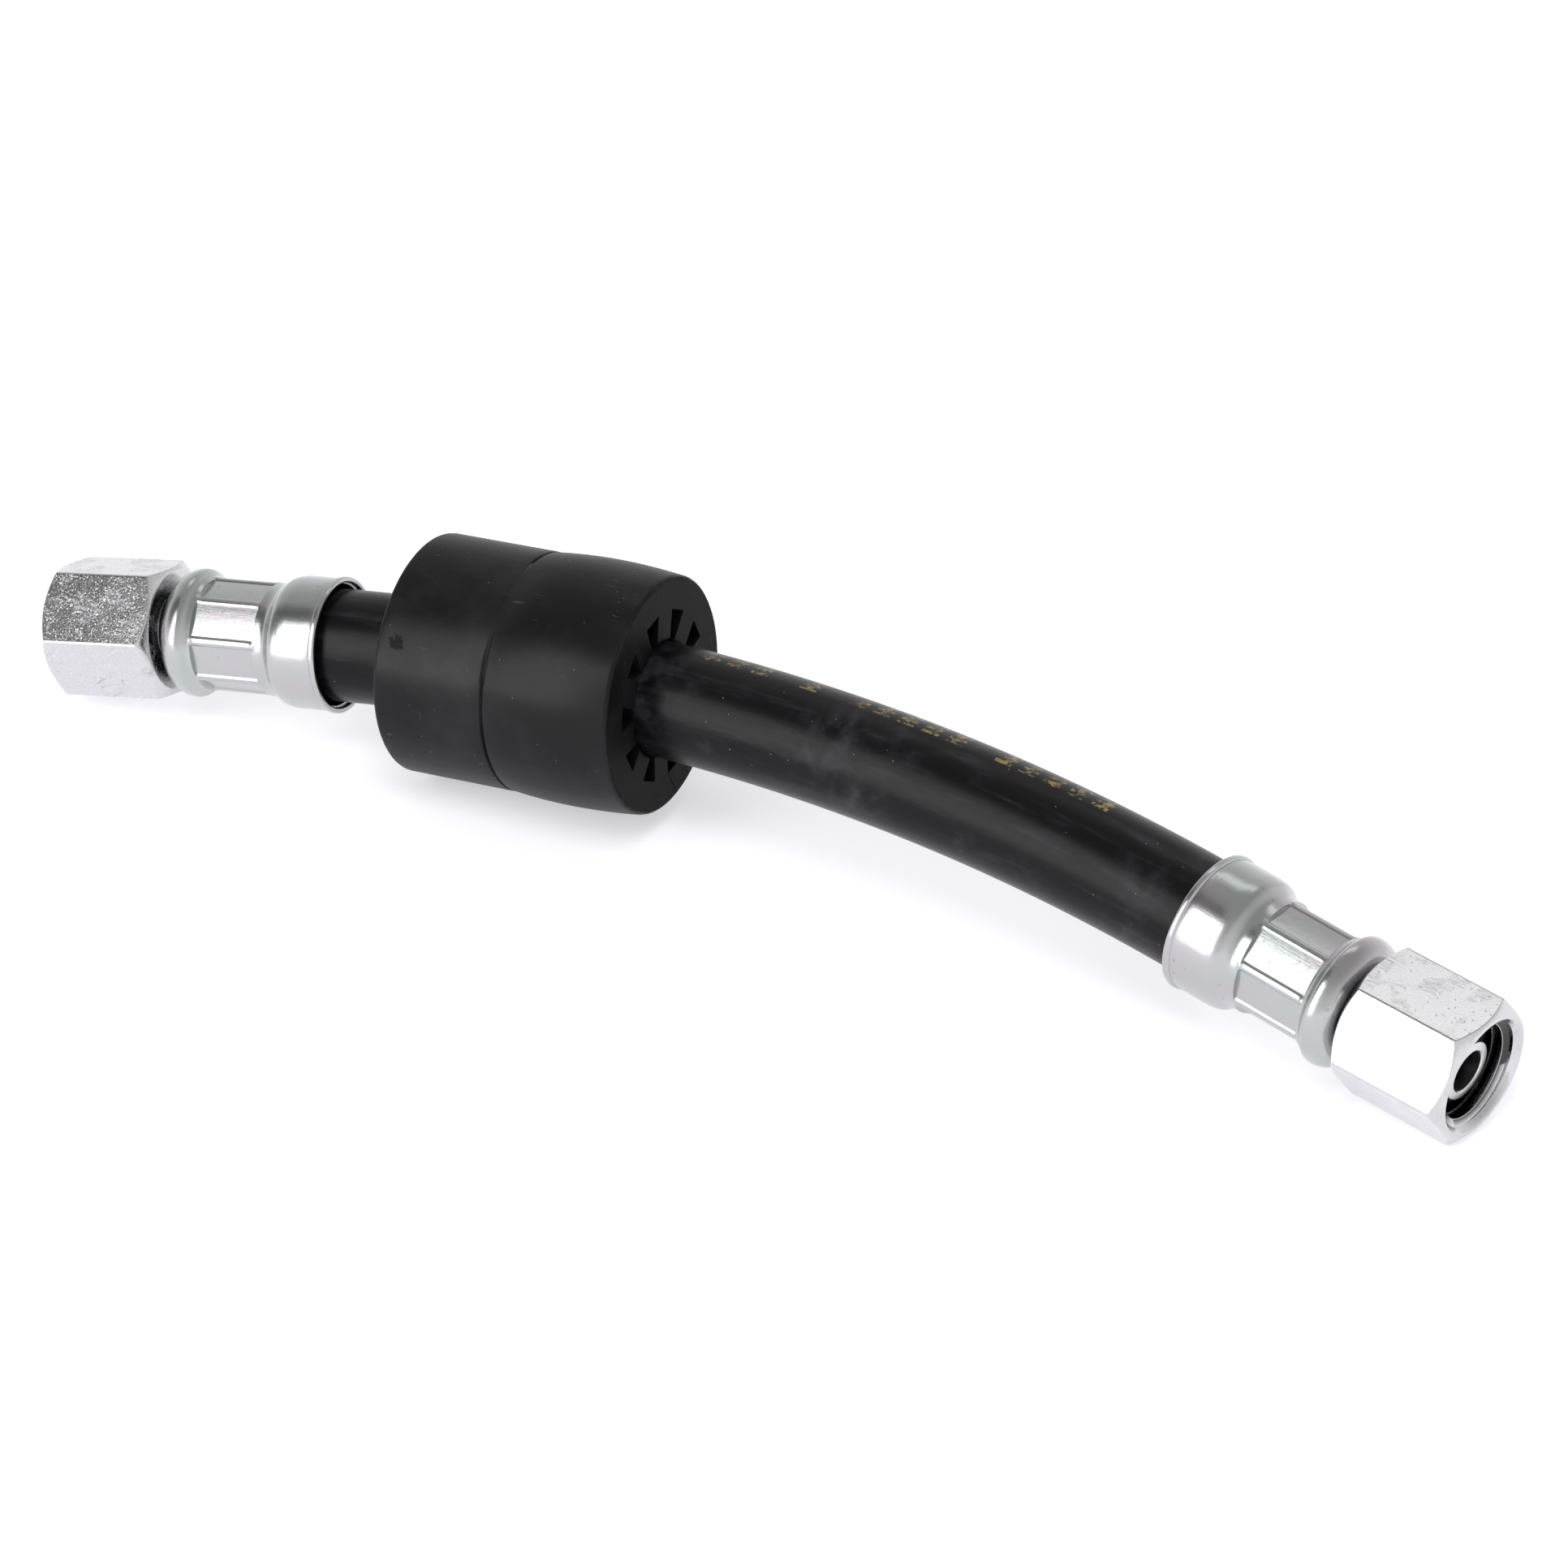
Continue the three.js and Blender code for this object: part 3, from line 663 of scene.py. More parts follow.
def hose_rubber(scene):
    """Black rubber with a dry bloom, dust and a row of faded marks."""
    sizes = scene.hose_sizes
    shade = Shade("Hose rubber", Specular_IOR_Level=0.17)
    place = shade.place()
    uv = shade.map()
    along, around, _ = uv.split()
    bloom = shade.noise(place, 55, 5, 0.6).rises(0.44, 0.68) * shade.noise(place, 420, 3).rises(0.35, 0.75)
    smear = shade.noise(shade.vector("MULTIPLY", uv, (60, 500, 1)), 1, 4, 0.6)
    film = bloom * 0.5 + smear.rises(0.5, 0.8) * 0.3
    dust = shade.specks(place, 700, 0.07, 0.25) + shade.specks(place, 300, 0.035, 0.4)
    start, end = sizes.print_start, sizes.print_end
    inside = along.rises(start - PRINT_EDGE, start) * along.rises(end, end - PRINT_EDGE)
    steps = (along - start) / sizes.print_pitch
    cell = shade.maths("FRACT", steps)
    number = shade.maths("FLOOR", steps)
    chance = shade.node("ShaderNodeTexWhiteNoise", {"noise_dimensions": "1D"}, {"W": number}).split()
    block = abs(cell - 0.5).rises(0.36, 0.31)
    height = (around - sizes.print_angle * sizes.diameter / 2) / (sizes.print_height / 2)
    row = abs(height).rises(1.0, 0.93)
    bar = abs(shade.maths("FRACT", height * 1.5 + chance[1]) - 0.5).rises(0.2, 0.27)
    stem = abs(cell - 0.5 - (chance[2] - 0.5) * 0.3).rises(0.13, 0.09)
    grouped = shade.maths("FRACT", number / 6 + 0.08).rises(0.12, 0.13)
    mark = shade.maths("MAXIMUM", bar * block, stem) * row * grouped * inside
    worn = shade.noise(place, 1500, 3, 0.7).rises(0.42, 0.58) * shade.noise(place, 140, 2).rises(0.3, 0.55)
    mark = mark * worn * chance[0].rises(0.1, 0.12)
    colour = shade.mix(film, sizes.rubber, sizes.bloom)
    colour = shade.mix(mark, colour, sizes.print_colour)
    colour = shade.mix(dust * 0.7, colour, (0.3, 0.3, 0.31))
    rough = 0.29 + film * 0.14 + shade.noise(place, 800, 2) * 0.06 + dust * 0.2
    grain = shade.noise(place, 2600, 4, 0.65) * 0.5 + shade.noise(place, 300, 3) * 0.8
    ripple = shade.noise(shade.vector("MULTIPLY", uv, (25, 90, 1)), 1, 2)
    normal = shade.bump(grain, 0.00003, 0.5, shade.bump(ripple, 0.0002, 0.35))
    return shade.finish(Base_Color=colour, Roughness=rough, Normal=normal)


def bush_rubber(scene, run):
    """Moulded rubber with dust, lint, a torn gate and an ejector pin's ring."""
    sizes = scene.bush_sizes
    shade = Shade("Bush rubber", Specular_IOR_Level=0.08, Coat_Roughness=0.27)
    place = shade.place()
    fine = shade.noise(place, 1800, 4, 0.6)
    cloud = shade.noise(place, 120, 4, 0.6)
    dust = shade.specks(place, 800, 0.08, 0.3) + shade.specks(place, 300, 0.035, 0.45)
    lint = shade.noise(shade.stretched(place, (0.4, 0.2, 1.1), (1, 9, 1)), 260, 2).rises(0.7, 0.78)
    torn, pin = (
        Term(shade, shade.vector("DISTANCE", place, tuple(spot)).socket.node.outputs["Value"])
        for spot in gate_places(scene, run)
    )
    ragged = torn + (shade.noise(place, 1100, 3, 0.7) - 0.5) * sizes.gate * 1.5
    blot = ragged.rises(sizes.gate * 0.46, sizes.gate * 0.2)
    ring = abs(pin - sizes.pin * 0.5).rises(sizes.pin * 0.2, 0)
    colour = shade.mix(cloud.rises(0.4, 0.8) * 0.35, sizes.rubber, (0.03, 0.029, 0.031))
    colour = shade.mix(dust * 0.75 + lint * 0.25, colour, sizes.dust)
    rough = 0.5 + cloud * 0.14 + dust * 0.1
    height = fine * 0.3 + cloud * 0.6 - blot * 2 + ring * 0.9
    normal = shade.bump(height, 0.00012, 0.5)
    coat = shade.mark("moulded") * (1 - blot * 0.8) * (0.21 + cloud * 0.14)
    return shade.finish(Base_Color=colour, Roughness=rough, Normal=normal, Coat_Weight=coat)


def gate_places(scene, run):
    """The middles of the torn gate and of the ejector pin's ring."""
    bush = scene.bush_sizes
    found = []
    middle = run.station(bush.place + bush.length / 2)
    for share, turn in ((bush.gate_share, bush.gate_turn), (bush.pin_share, bush.pin_turn)):
        shift = bush.length * (share - 0.5)
        spot = about_x(np.array(shift), np.array(bush.diameter / 2), np.array(turn))
        found.append(middle @ Vector(spot))
    return found


def plated_sheet(scene):
    """Zinc-plated drawn sheet: satin, with faint tints and drawn streaks."""
    sizes = scene.ferrule_sizes
    shade = Shade("Plated sheet", Metallic=1.0)
    place = shade.place()
    tint = shade.noise(place, 95, 3, 0.6)
    colour = shade.mix(tint.rises(0.38, 0.62), (0.45, 0.52, 0.48), (0.55, 0.49, 0.52))
    colour = shade.mix(0.5, colour, sizes.plate)
    colour = shade.mix(shade.noise(place, 2600, 3, 0.7).rises(0.3, 0.7) * 0.22, colour, (0.5, 0.5, 0.51))
    streak = shade.noise(shade.vector("MULTIPLY", shade.map(), (300, 40, 1)), 1, 4, 0.7)
    spots = shade.specks(place, 650, 0.2, 0.25)
    grime = shade.noise(place, 320, 4, 0.7).rises(0.6, 0.75)
    colour = shade.mix(spots * 0.45 + grime * 0.25, colour, (0.3, 0.31, 0.32))
    rough = 0.17 + streak * 0.1 + grime * 0.14 + spots * 0.12
    fine = shade.noise(place, 1400, 3, 0.6)
    normal = shade.bump(fine * 0.6 + streak * 0.6, 0.00003, 0.5)
    return shade.finish(Base_Color=colour, Roughness=rough, Normal=normal)


def plated_nut(scene):
    """Bright zinc plating with sparkling grain, grey specks, handling scratches and painted shade in its
    bore and thread.
    """
    sizes = scene.nut_sizes
    shade = Shade("Plated nut", Metallic=1.0)
    place = shade.place()
    worn = 1 - place.split()[0].rises(-0.001, 0.001) * sizes.right_calm
    grain = shade.noise(place, 4200, 3, 0.7)
    patch = 0.55 + shade.noise(place, 260, 2).rises(0.3, 0.6) * 0.45
    etched = shade.noise(place, 3600, 2, 0.6).rises(0.57, 0.65) * patch * worn
    scratch = 0
    for turn, width in (((0.3, 0.9, 0.2), 0.006), ((1.2, 0.1, 0.8), 0.005), ((2.2, 1.4, 2.5), 0.006)):
        lines = shade.noise(shade.stretched(place, turn, (1, 12, 1)), 190, 1.5)
        mask = shade.noise(place, 260, 2).rises(0.5, 0.62)
        scratch = abs(lines - 0.5).rises(width * 2, width) * mask + scratch
    scratch = scratch * worn
    specks = shade.specks(place, 1500, 0.24, 0.35)
    colour = shade.mix(specks * worn * 0.3 + scratch * 0.5, sizes.plate, (0.33, 0.33, 0.34))
    sunk = shade.mark("sunk")
    colour = shade.mix(etched * 0.4, colour, (0.92, 0.92, 0.925))
    # Painted shade: the bore and the thread's grooves are darkened towards black by the sunk mark.
    colour = shade.mix(sunk * 0.93, colour, (0.02, 0.02, 0.021))
    rough = 0.07 + etched * 0.34 + scratch * 0.15 + specks * 0.2 + sunk * 0.15
    wave = shade.noise(place, 160, 2)
    normal = shade.bump(grain * 0.7 - scratch * 0.8 - specks * 0.5 + wave * 1.5, 0.00003, 0.6)
    return shade.finish(Base_Color=colour, Roughness=rough, Normal=normal)


def turned_steel(scene):
    """Turned steel whose fine rings follow the lathe's tool, with painted shade in its bore."""
    sizes = scene.nipple_sizes
    shade = Shade("Turned steel", Metallic=1.0)
    place = shade.place()
    along, _, _ = shade.map().split()
    rings = shade.noise(shade.node("ShaderNodeCombineXYZ", {}, {"X": along}), 9000, 2)
    stain = shade.noise(place, 300, 4, 0.6).rises(0.5, 0.75)
    colour = shade.mix(stain * 0.4, sizes.steel, (0.32, 0.31, 0.3))
    # Painted shade: the bore is darkened towards black behind the tube's end by the sunk mark.
    sunk = shade.mark("sunk")
    colour = shade.mix(sunk * 0.9, colour, (0.03, 0.03, 0.03))
    rough = 0.22 + rings * 0.12 + stain * 0.15
    normal = shade.bump(rings + shade.noise(place, 2500, 2) * 0.4, 0.00002, 0.5)
    return shade.finish(Base_Color=colour, Roughness=rough, Normal=normal)


# Operators


class MESH_OT_build_fuel_hose(bpy.types.Operator):
    """Sweeps the rubber hose along its bend"""

    bl_idname = "mesh.build_fuel_hose"
    bl_label = "Rubber Hose"

    def execute(self, context):
        scene = context.scene
        sizes = scene.hose_sizes
        run = Run(scene)
        inner = ferrule_outline(scene.ferrule_sizes, inside=True)
        limit_x, limit_r = zip(*inner)
        steps = math.ceil((sizes.free_length + 2 * sizes.end_depth) / sizes.pitch)
        distances = np.linspace(-sizes.end_depth, sizes.free_length + sizes.end_depth, steps + 1)
        depth = np.maximum(np.maximum(-distances, distances - sizes.free_length), 0)
        room = np.interp(depth, limit_x, limit_r) - SEAT_GAP
        squeeze = np.minimum(1, room / (sizes.diameter / 2))
        points = [run.station(distance).translation for distance in distances]
        line = bpy.data.meshes.new("Hose line")
        line.from_pydata(points, [(i, i + 1) for i in range(steps)], [])
        line.attributes.new("squeeze", "FLOAT", "POINT").data.foreach_set("value", squeeze)
        source = place_object("Hose line", line)
        values = {"Diameter": sizes.diameter, "Sides": sizes.sides, "Material": hose_rubber(scene)}
        hose = grown("rubber_hose", source, follow_tree(), values, 50, Matrix.Identity(4))
        map_along(hose.data, run, distances, sizes.diameter / 2)
        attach(hose, "hose_run")
        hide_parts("hose")
        return {"FINISHED"}


def map_along(mesh, run, distances, radius):
    """A map whose first part is the distance along the hose and whose second is the way round it."""
    frames = [run.station(distance) for distance in distances]
    origins = np.array([matrix.translation for matrix in frames])
    layer = mesh.uv_layers.get("UVMap") or mesh.uv_layers.new(name="UVMap")
    count = len(mesh.vertices)
    places = np.empty(count * 3)
    mesh.vertices.foreach_get("co", places)
    places = places.reshape(-1, 3)
    nearest = np.argmin(((places[:, None, :] - origins[None, :, :]) ** 2).sum(axis=2), axis=1)
    along = distances[nearest]
    angle = np.empty(count)
    for i, (spot, k) in enumerate(zip(places, nearest)):
        local = frames[k].inverted() @ Vector(spot)
        angle[i] = math.atan2(local.z, local.y)
    for polygon in mesh.polygons:
        turns = [angle[v] for v in polygon.vertices]
        wraps = max(turns) - min(turns) > math.pi
        for loop, turn in zip(polygon.loop_indices, turns):
            if wraps and turn < 0:
                turn += math.tau
            vertex = mesh.loops[loop].vertex_index
            layer.data[loop].uv = (along[vertex], turn * radius)


class MESH_OT_build_rubber_bush(bpy.types.Operator):
    """Builds the split and slotted rubber bush"""

    bl_idname = "mesh.build_rubber_bush"
    bl_label = "Rubber Bush"

    def execute(self, context):
        scene = context.scene
        sizes = scene.bush_sizes
        run = Run(scene)
        middle = run.station(sizes.place + sizes.length / 2)
        mesh = bpy.data.meshes.new("Bush sector")
        work = bush_sector(sizes, scene.hose_sizes.diameter / 2)
        work.to_mesh(mesh)
        work.free()
        source = place_object("Bush sector", mesh)
        values = {"Count": sizes.slots, "Material": bush_rubber(scene, run)}
        turned = Matrix.Rotation(sizes.turn, 4, "X")
        bush = grown("rubber_bush", source, ring_repeat_tree(), values, 38, turned)
        settle_bush(bush.data, sizes, run, middle, scene.hose_sizes.diameter / 2)
        cut_slit(bush, sizes)
        mark_moulded(bush.data, sizes)
        bush.data.transform(middle)
        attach(bush, "hose_run")
        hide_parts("bush")
        return {"FINISHED"}


def mark_moulded(mesh, sizes):
    """Where the bush has its moulded skin: outside, but not in the seam."""
    layer = mesh.attributes.new("moulded", "FLOAT", "POINT")
    seam = (sizes.seam_share - 0.5) * sizes.length
    limit = sizes.narrow / 2 - sizes.edge * 0.5
    for vertex, mark in zip(mesh.vertices, layer.data):
        x, y, z = vertex.co
        radius = math.hypot(y, z)
        deep = (sizes.diameter / 2 - radius) / sizes.seam_depth
        bare = max(0, deep) * 1.3 if abs(x - seam) < sizes.seam_width else 0
        mark.value = max(0, 1 - bare) if radius > limit else 0


def round_edge(x, radius, edge, off, turns):
    """A round edge at a face, as lengths and radii, where off is the sign of the way off the face."""
    return [(x + off * edge * (1 - math.sin(a)), radius - edge * (1 - math.cos(a))) for a in turns]


def bush_profile(sizes):
    """The outside of the bush as lengths from its middle and radii."""
    start, end = -sizes.length / 2, sizes.length / 2
    wide, narrow, edge = sizes.diameter / 2, sizes.narrow / 2, sizes.edge
    seam = start + sizes.length * sizes.seam_share
    gap = sizes.seam_width / 2
    profile = round_edge(start, wide, edge, 1, np.linspace(math.pi / 2, 0, 7))
    profile += [(x, wide) for x in np.linspace(start + edge, seam - gap * 2, 14)[1:]]
    for across, deep in ((-1, 0.12), (-0.5, 0.75), (0, 1), (0.5, 0.75), (1, 0.12)):
        profile.append((seam + gap * across, wide - sizes.seam_depth * deep))
    top = sizes.barrel - (wide + narrow) / 2
    for t in np.linspace(0, 1, 20):
        x = (1 - t) ** 2 * (seam + gap * 2) + 2 * t * (1 - t) * (seam + end) / 2 + t * t * (end - edge)
        profile.append((x, (1 - t) ** 2 * wide + 2 * t * (1 - t) * top + t * t * narrow))
    return profile + round_edge(end, narrow, edge, -1, np.linspace(0, math.pi / 2, 7)[1:])


def bush_sector(sizes, hose_radius):
    """One slot's share of the bush: outside, both faces, bore and slot walls."""
    half = math.pi / sizes.slots
    bore = hose_radius
    inner, outer, reach = sizes.slot_narrow / 2, sizes.slot_wide / 2, sizes.slot_reach
    soft = 0.1 * MM
    foot = math.asin(inner / bore)
    inside = [(-bore * math.sin(a), bore * math.cos(a)) for a in np.linspace(-half, -foot, 6)]
    inside += [(outer - soft * y, reach - soft * z) for y, z in ((0.3, 1.4), (0.6, 0.4), (1.6, 0))]
    inside += [(0, reach)]
    inside += [(-y, z) for y, z in reversed(inside[:-1])]
    count = len(inside)
    shares = [*np.linspace(1, 0.76, 6), 0.62, 0.52, 0.36, 0]
    mix = [-half * share for share in shares] + [half * share for share in reversed(shares[:-1])]
    profile = bush_profile(sizes)
    work = bmesh.new()

    def row(points):
        return [work.verts.new(point) for point in points]

    outside = [row([(x, -r * math.sin(a), r * math.cos(a)) for a in mix]) for x, r in profile]
    start, end = profile[0][0], profile[-1][0]
    rim_start, rim_end = profile[0][1], profile[-1][1]

    def opened(x):
        """The bore and slot walls at a length, the bore flared near the faces."""
        near = max(0, 1 - min(x - start, end - x) / sizes.flare)
        wider = 1 + sizes.flare * near * near / bore
        scales = [wider if math.hypot(y, z) < bore * 1.01 else 1 for y, z in inside]
        return [(y * scale, z * scale) for (y, z), scale in zip(inside, scales)]

    def face_rows(x, rim):
        rows = []
        for share in (0.985, 0.7, 0.4, 0.06, 0.0):
            points = []
            for (y, z), a in zip(opened(x), mix):
                side, top = -rim * math.sin(a), rim * math.cos(a)
                points.append((x, y + (side - y) * share, z + (top - z) * share))
            rows.append(points)
        return rows

    front = [row(points) for points in face_rows(start, rim_start)]
    back = [row(points) for points in face_rows(end, rim_end)]
    rounds = np.array([0.15, 0.45, 1]) * sizes.flare
    core_lengths = [*(start + rounds), *np.linspace(start, end, 8)[1:-1], *(end - rounds[::-1])]
    core = [row([(x, y, z) for y, z in opened(x)]) for x in core_lengths]
    loop = outside + back + core[::-1] + front[::-1]
    for upper, lower in zip(loop, loop[1:] + loop[:1]):
        for j in range(count - 1):
            work.faces.new((upper[j], upper[j + 1], lower[j + 1], lower[j]))
    return work


def settle_bush(mesh, sizes, run, middle, hose_radius):
    """Lets the bore follow the bend of the hose, and the seam fade out towards the top."""
    back = middle.inverted()
    wide = sizes.diameter / 2
    seam = (sizes.seam_share - 0.5) * sizes.length
    for vertex in mesh.vertices:
        x, y, z = vertex.co
        radius = math.hypot(y, z)
        spot = back @ run.station(sizes.place + sizes.length / 2 + x).translation
        weight = max(0, min(1, (sizes.slot_reach - radius) / (sizes.slot_reach - hose_radius)))
        vertex.co.y += spot.y * weight
        vertex.co.z += spot.z * weight
        if abs(x - seam) < sizes.seam_width and 0 < wide - radius < sizes.seam_depth * 1.1:
            turn = math.atan2(-y, z) % math.tau
            low = max(0, min(1, (turn - sizes.seam_start) / sizes.seam_reach))
            kept = wide - (wide - radius) * (sizes.seam_left + (1 - sizes.seam_left) * low)
            vertex.co.y *= kept / radius
            vertex.co.z *= kept / radius


def cut_slit(bush, sizes):
    """Cuts the slit from its slot to the outside."""
    turn = sizes.turn + math.tau * sizes.slit_slot / sizes.slots
    height = sizes.barrel - sizes.slot_reach
    work = bmesh.new()
    bmesh.ops.create_cube(work, size=1)
    root = Matrix.Translation((0, (sizes.slot_wide - sizes.slit) / 2, sizes.slot_reach - sizes.slit))
    rise = Matrix.Rotation(sizes.slit_lean, 4, "X") @ Matrix.Translation((0, 0, height / 2))
    span = Matrix.Diagonal((sizes.length * 1.2, sizes.slit, height, 1))
    place = Matrix.Rotation(turn, 4, "X") @ root @ rise @ span
    bmesh.ops.transform(work, matrix=place, verts=work.verts)
    blade = bpy.data.meshes.new("Slit blade")
    work.to_mesh(blade)
    work.free()
    blade.materials.append(bush.data.materials[0])
    cutter = place_object("Slit blade", blade)
    cut = bush.modifiers.new("Slit", "BOOLEAN")
    cut.operation = "DIFFERENCE"
    cut.solver = "EXACT"
    cut.object = cutter
    graph = bpy.context.evaluated_depsgraph_get()
    mesh = bpy.data.meshes.new_from_object(bush.evaluated_get(graph), depsgraph=graph)
    bush.modifiers.clear()
    bush.data = mesh
    bpy.data.objects.remove(cutter)
    mesh.set_sharp_from_angle(angle=math.radians(38))


class MESH_OT_build_ferrules(bpy.types.Operator):
    """Builds the two crimped ferrules"""

    bl_idname = "mesh.build_ferrules"
    bl_label = "Crimped Ferrules"

    def execute(self, context):
        scene = context.scene
        sizes = scene.ferrule_sizes
        run = Run(scene)
        material = plated_sheet(scene)
        tree = ring_repeat_tree()
        for side, turn in (("left", sizes.left_turn), ("right", sizes.right_turn)):
            source = place_object("Ferrule sector", skin("Ferrule sector", ferrule_sector(sizes), False))
            place = run.fitting(side) @ Matrix.Rotation(turn + math.pi / sizes.crimps, 4, "X")
            values = {"Count": sizes.crimps, "Material": material}
            ferrule = grown(f"{side}_crimped_ferrule", source, tree, values, 30, place)
            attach(ferrule, "hose_run")
            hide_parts(f"{side}_ferrule")
        return {"FINISHED"}


def ferrule_sector(sizes):
    """One crimp flat's share of a ferrule, centred on the flat."""
    half = math.pi / sizes.crimps
    apothem = sizes.crimp_flats / 2
    edge = math.atan2(apothem * math.tan(half) - sizes.rib_width / 2, apothem)
    fractions = np.concatenate([np.linspace(0, edge, 9), edge + (half - edge) * np.linspace(0, 1, 8)[1:]])
    local = np.concatenate([-fractions[:0:-1], fractions])
    across = np.abs(local)
    foot = (apothem - sizes.crown) / math.cos(edge)
    bead = 1 - np.clip((half - across) / (half - edge), 0, 1) ** 3
    flat = (apothem - sizes.crown * (across / edge) ** 2) / np.cos(local)
    crimped = np.where(across <= edge, flat, foot + (sizes.rib / 2 - foot) * bead)
    outer = ferrule_outline(sizes, inside=False)
    crimp_end = sizes.length - sizes.bulge_length
    crimp_start = crimp_end - sizes.crimp_length
    near = np.array([-1, -0.5, 0, 0.5, 1, 3, 6]) * sizes.wall / 2
    ends = [*(crimp_start + near), *(crimp_end - near)]
    round_end = sizes.sheet / 2
    away = [x for x, _ in outer[:-1] if min(abs(x - crimp_start), abs(x - crimp_end)) > sizes.wall * 3.2]
    lengths = sorted([round_end, *(x for x in away if x > round_end * 1.1), *ends])
    known_x, known_r = zip(*outer[:-1])
    rows = []
    for x in lengths:
        radius = np.full(len(local), np.interp(x, known_x, known_r))
        inside = np.clip(min(x - crimp_start, crimp_end - x) / sizes.wall + 0.5, 0, 1)
        pressed = inside * inside * (3 - 2 * inside)
        reach = min(abs(x - crimp_start), abs(x - crimp_end)) / (sizes.wall * 2.5)
        nub = sizes.nub * bead**2 * math.exp(-reach * reach) * (across > edge)
        rows.append((x, radius + (crimped - radius) * pressed + nub))
    rows.append((outer[-1][0], np.full(len(local), outer[-1][1])))
    inner = [point for point in ferrule_outline(sizes, inside=True)[::-1] if point[0] > round_end * 1.1]
    rows += [(x, np.full(len(local), radius)) for x, radius in inner]
    centre = sizes.mouth / 2 - round_end
    for turn in np.linspace(0, math.pi, 9)[:-1]:
        x = round_end - round_end * math.sin(turn)
        rows.append((x, np.full(len(local), centre - round_end * math.cos(turn))))
    return np.array([about_x(np.full(len(local), x), radius, local) for x, radius in rows])


class MESH_OT_build_nipples(bpy.types.Operator):
    """Builds the two barbed nipples"""

    bl_idname = "mesh.build_nipples"
    bl_label = "Nipples"

    def execute(self, context):
        scene = context.scene
        sizes = scene.nipple_sizes
        run = Run(scene)
        material = turned_steel(scene)
        outline = nipple_outline(scene)
        angles = np.linspace(0, math.tau, sizes.sides, endpoint=False)
        ones = np.ones_like(angles)
        grid = np.array([about_x(x * ones, r * ones, angles) for x, r in outline])
        end = max(x for x, _ in outline)
        for side in ("left", "right"):
            mesh = skin(f"{side}_turned_nipple", grid, True)
            mesh.materials.append(material)
            mesh.transform(run.fitting(side))
            outward(mesh, 30)
            nipple = place_object(f"{side}_turned_nipple", mesh)
            # Painted shade in the nipple's bore, carried by the sunk mark.
            paint_bore_shade(mesh, run.fitting(side), end - sizes.painted_shade_start, sizes.dark_reach)
            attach(nipple, "hose_run")
            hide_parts(f"{side}_nipple")
        return {"FINISHED"}


def nipple_outline(scene):
    """The closed outline of a nipple as lengths and radii."""
    sizes, ferrule, nut = scene.nipple_sizes, scene.ferrule_sizes, scene.nut_sizes
    gap = SEAT_GAP
    tube, bore, collar = sizes.tube / 2, sizes.bore / 2, sizes.collar / 2
    shoulder, tail = sizes.shoulder / 2, sizes.tail / 2
    end = ferrule.length + nut.behind + nut.length - nut.front_to_tube
    cone = (shoulder - tube) / math.tan(sizes.cone / 2)
    cone_start = end - sizes.chamfer - cone
    start = ferrule.length - ferrule.bulge_length - ferrule.crimp_length - sizes.barb_pitch
    groove = ferrule.length - ferrule.sheet - gap
    outline = [(start, bore), (start, tail - 2 * sizes.barb)]
    for i in range(sizes.barbs):
        top = start + i * sizes.barb_pitch + sizes.barb_pitch * 0.8
        outline += [(top, tail), (top + 0.02 * sizes.barb_pitch, tail - sizes.barb)]
    outline += [(groove - sizes.flange, tail - sizes.barb), (groove - sizes.flange, collar)]
    outline += [(groove, collar), (groove, collar - sizes.flange)]
    outline += [(ferrule.length + gap, collar - sizes.flange), (ferrule.length + gap, collar)]
    shoulder_start = cone_start - sizes.shoulder_length
    outline += [(shoulder_start - gap, collar), (shoulder_start, shoulder)]
    outline += [(cone_start, shoulder), (end - sizes.chamfer, tube)]
    outline += [(end - sizes.chamfer * 0.35, tube - sizes.chamfer * 0.3), (end, tube - sizes.chamfer)]
    edge = sizes.bore_edge
    outline += [(end, bore + edge), (end - edge, bore)]
    outline += [(end - edge - (end - start) * i / 12, bore) for i in range(1, 12)]
    return outline


class MESH_OT_build_union_nuts(bpy.types.Operator):
    """Builds the two union nuts with their inner threads"""

    bl_idname = "mesh.build_union_nuts"
    bl_label = "Union Nuts"

    def execute(self, context):
        scene = context.scene
        sizes = scene.nut_sizes
        run = Run(scene)
        material = plated_nut(scene)
        turns = {"left": sizes.left_turn, "right": sizes.right_turn}
        droops = {"left": sizes.left_droop, "right": sizes.right_droop}
        pivot = Matrix.Translation((run.pivot, 0, 0))
        ring, thread = ring_repeat_tree(), thread_tree()
        for side in turns:
            hung = run.fitting(side) @ pivot @ Matrix.Rotation(droops[side], 4, "Y")
            place = hung @ pivot.inverted() @ Matrix.Rotation(turns[side], 4, "X")
            source = place_object("Nut sector", skin("Nut sector", nut_sector(scene), False))
            values = {"Count": 6, "Material": material}
            nut = grown(f"{side}_union_nut", source, ring, values, 25, place)
            ridge = thread_ridge(scene, thread, material, place)
            join(nut, ridge)
            # Painted shade in the nut's bore and thread grooves, carried by the sunk mark.
            front = run.pivot + sizes.length - sizes.back_wall / 2
            crest = sizes.thread / 2 - sizes.thread_depth
            paint_bore_shade(nut.data, place, front - sizes.painted_shade_start, sizes.dark_reach, crest, sizes.mouth / 2)
            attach(nut, f"{side}_union")
            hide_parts(f"{side}_nut")
        return {"FINISHED"}


def join(first, second):
    """Adds the second object's mesh to the first one's."""
    work = bmesh.new()
    work.from_mesh(first.data)
    work.from_mesh(second.data)
    work.to_mesh(first.data)
    work.free()
    bpy.data.objects.remove(second)
    first.data.shade_smooth()
    first.data.set_sharp_from_angle(angle=math.radians(25))


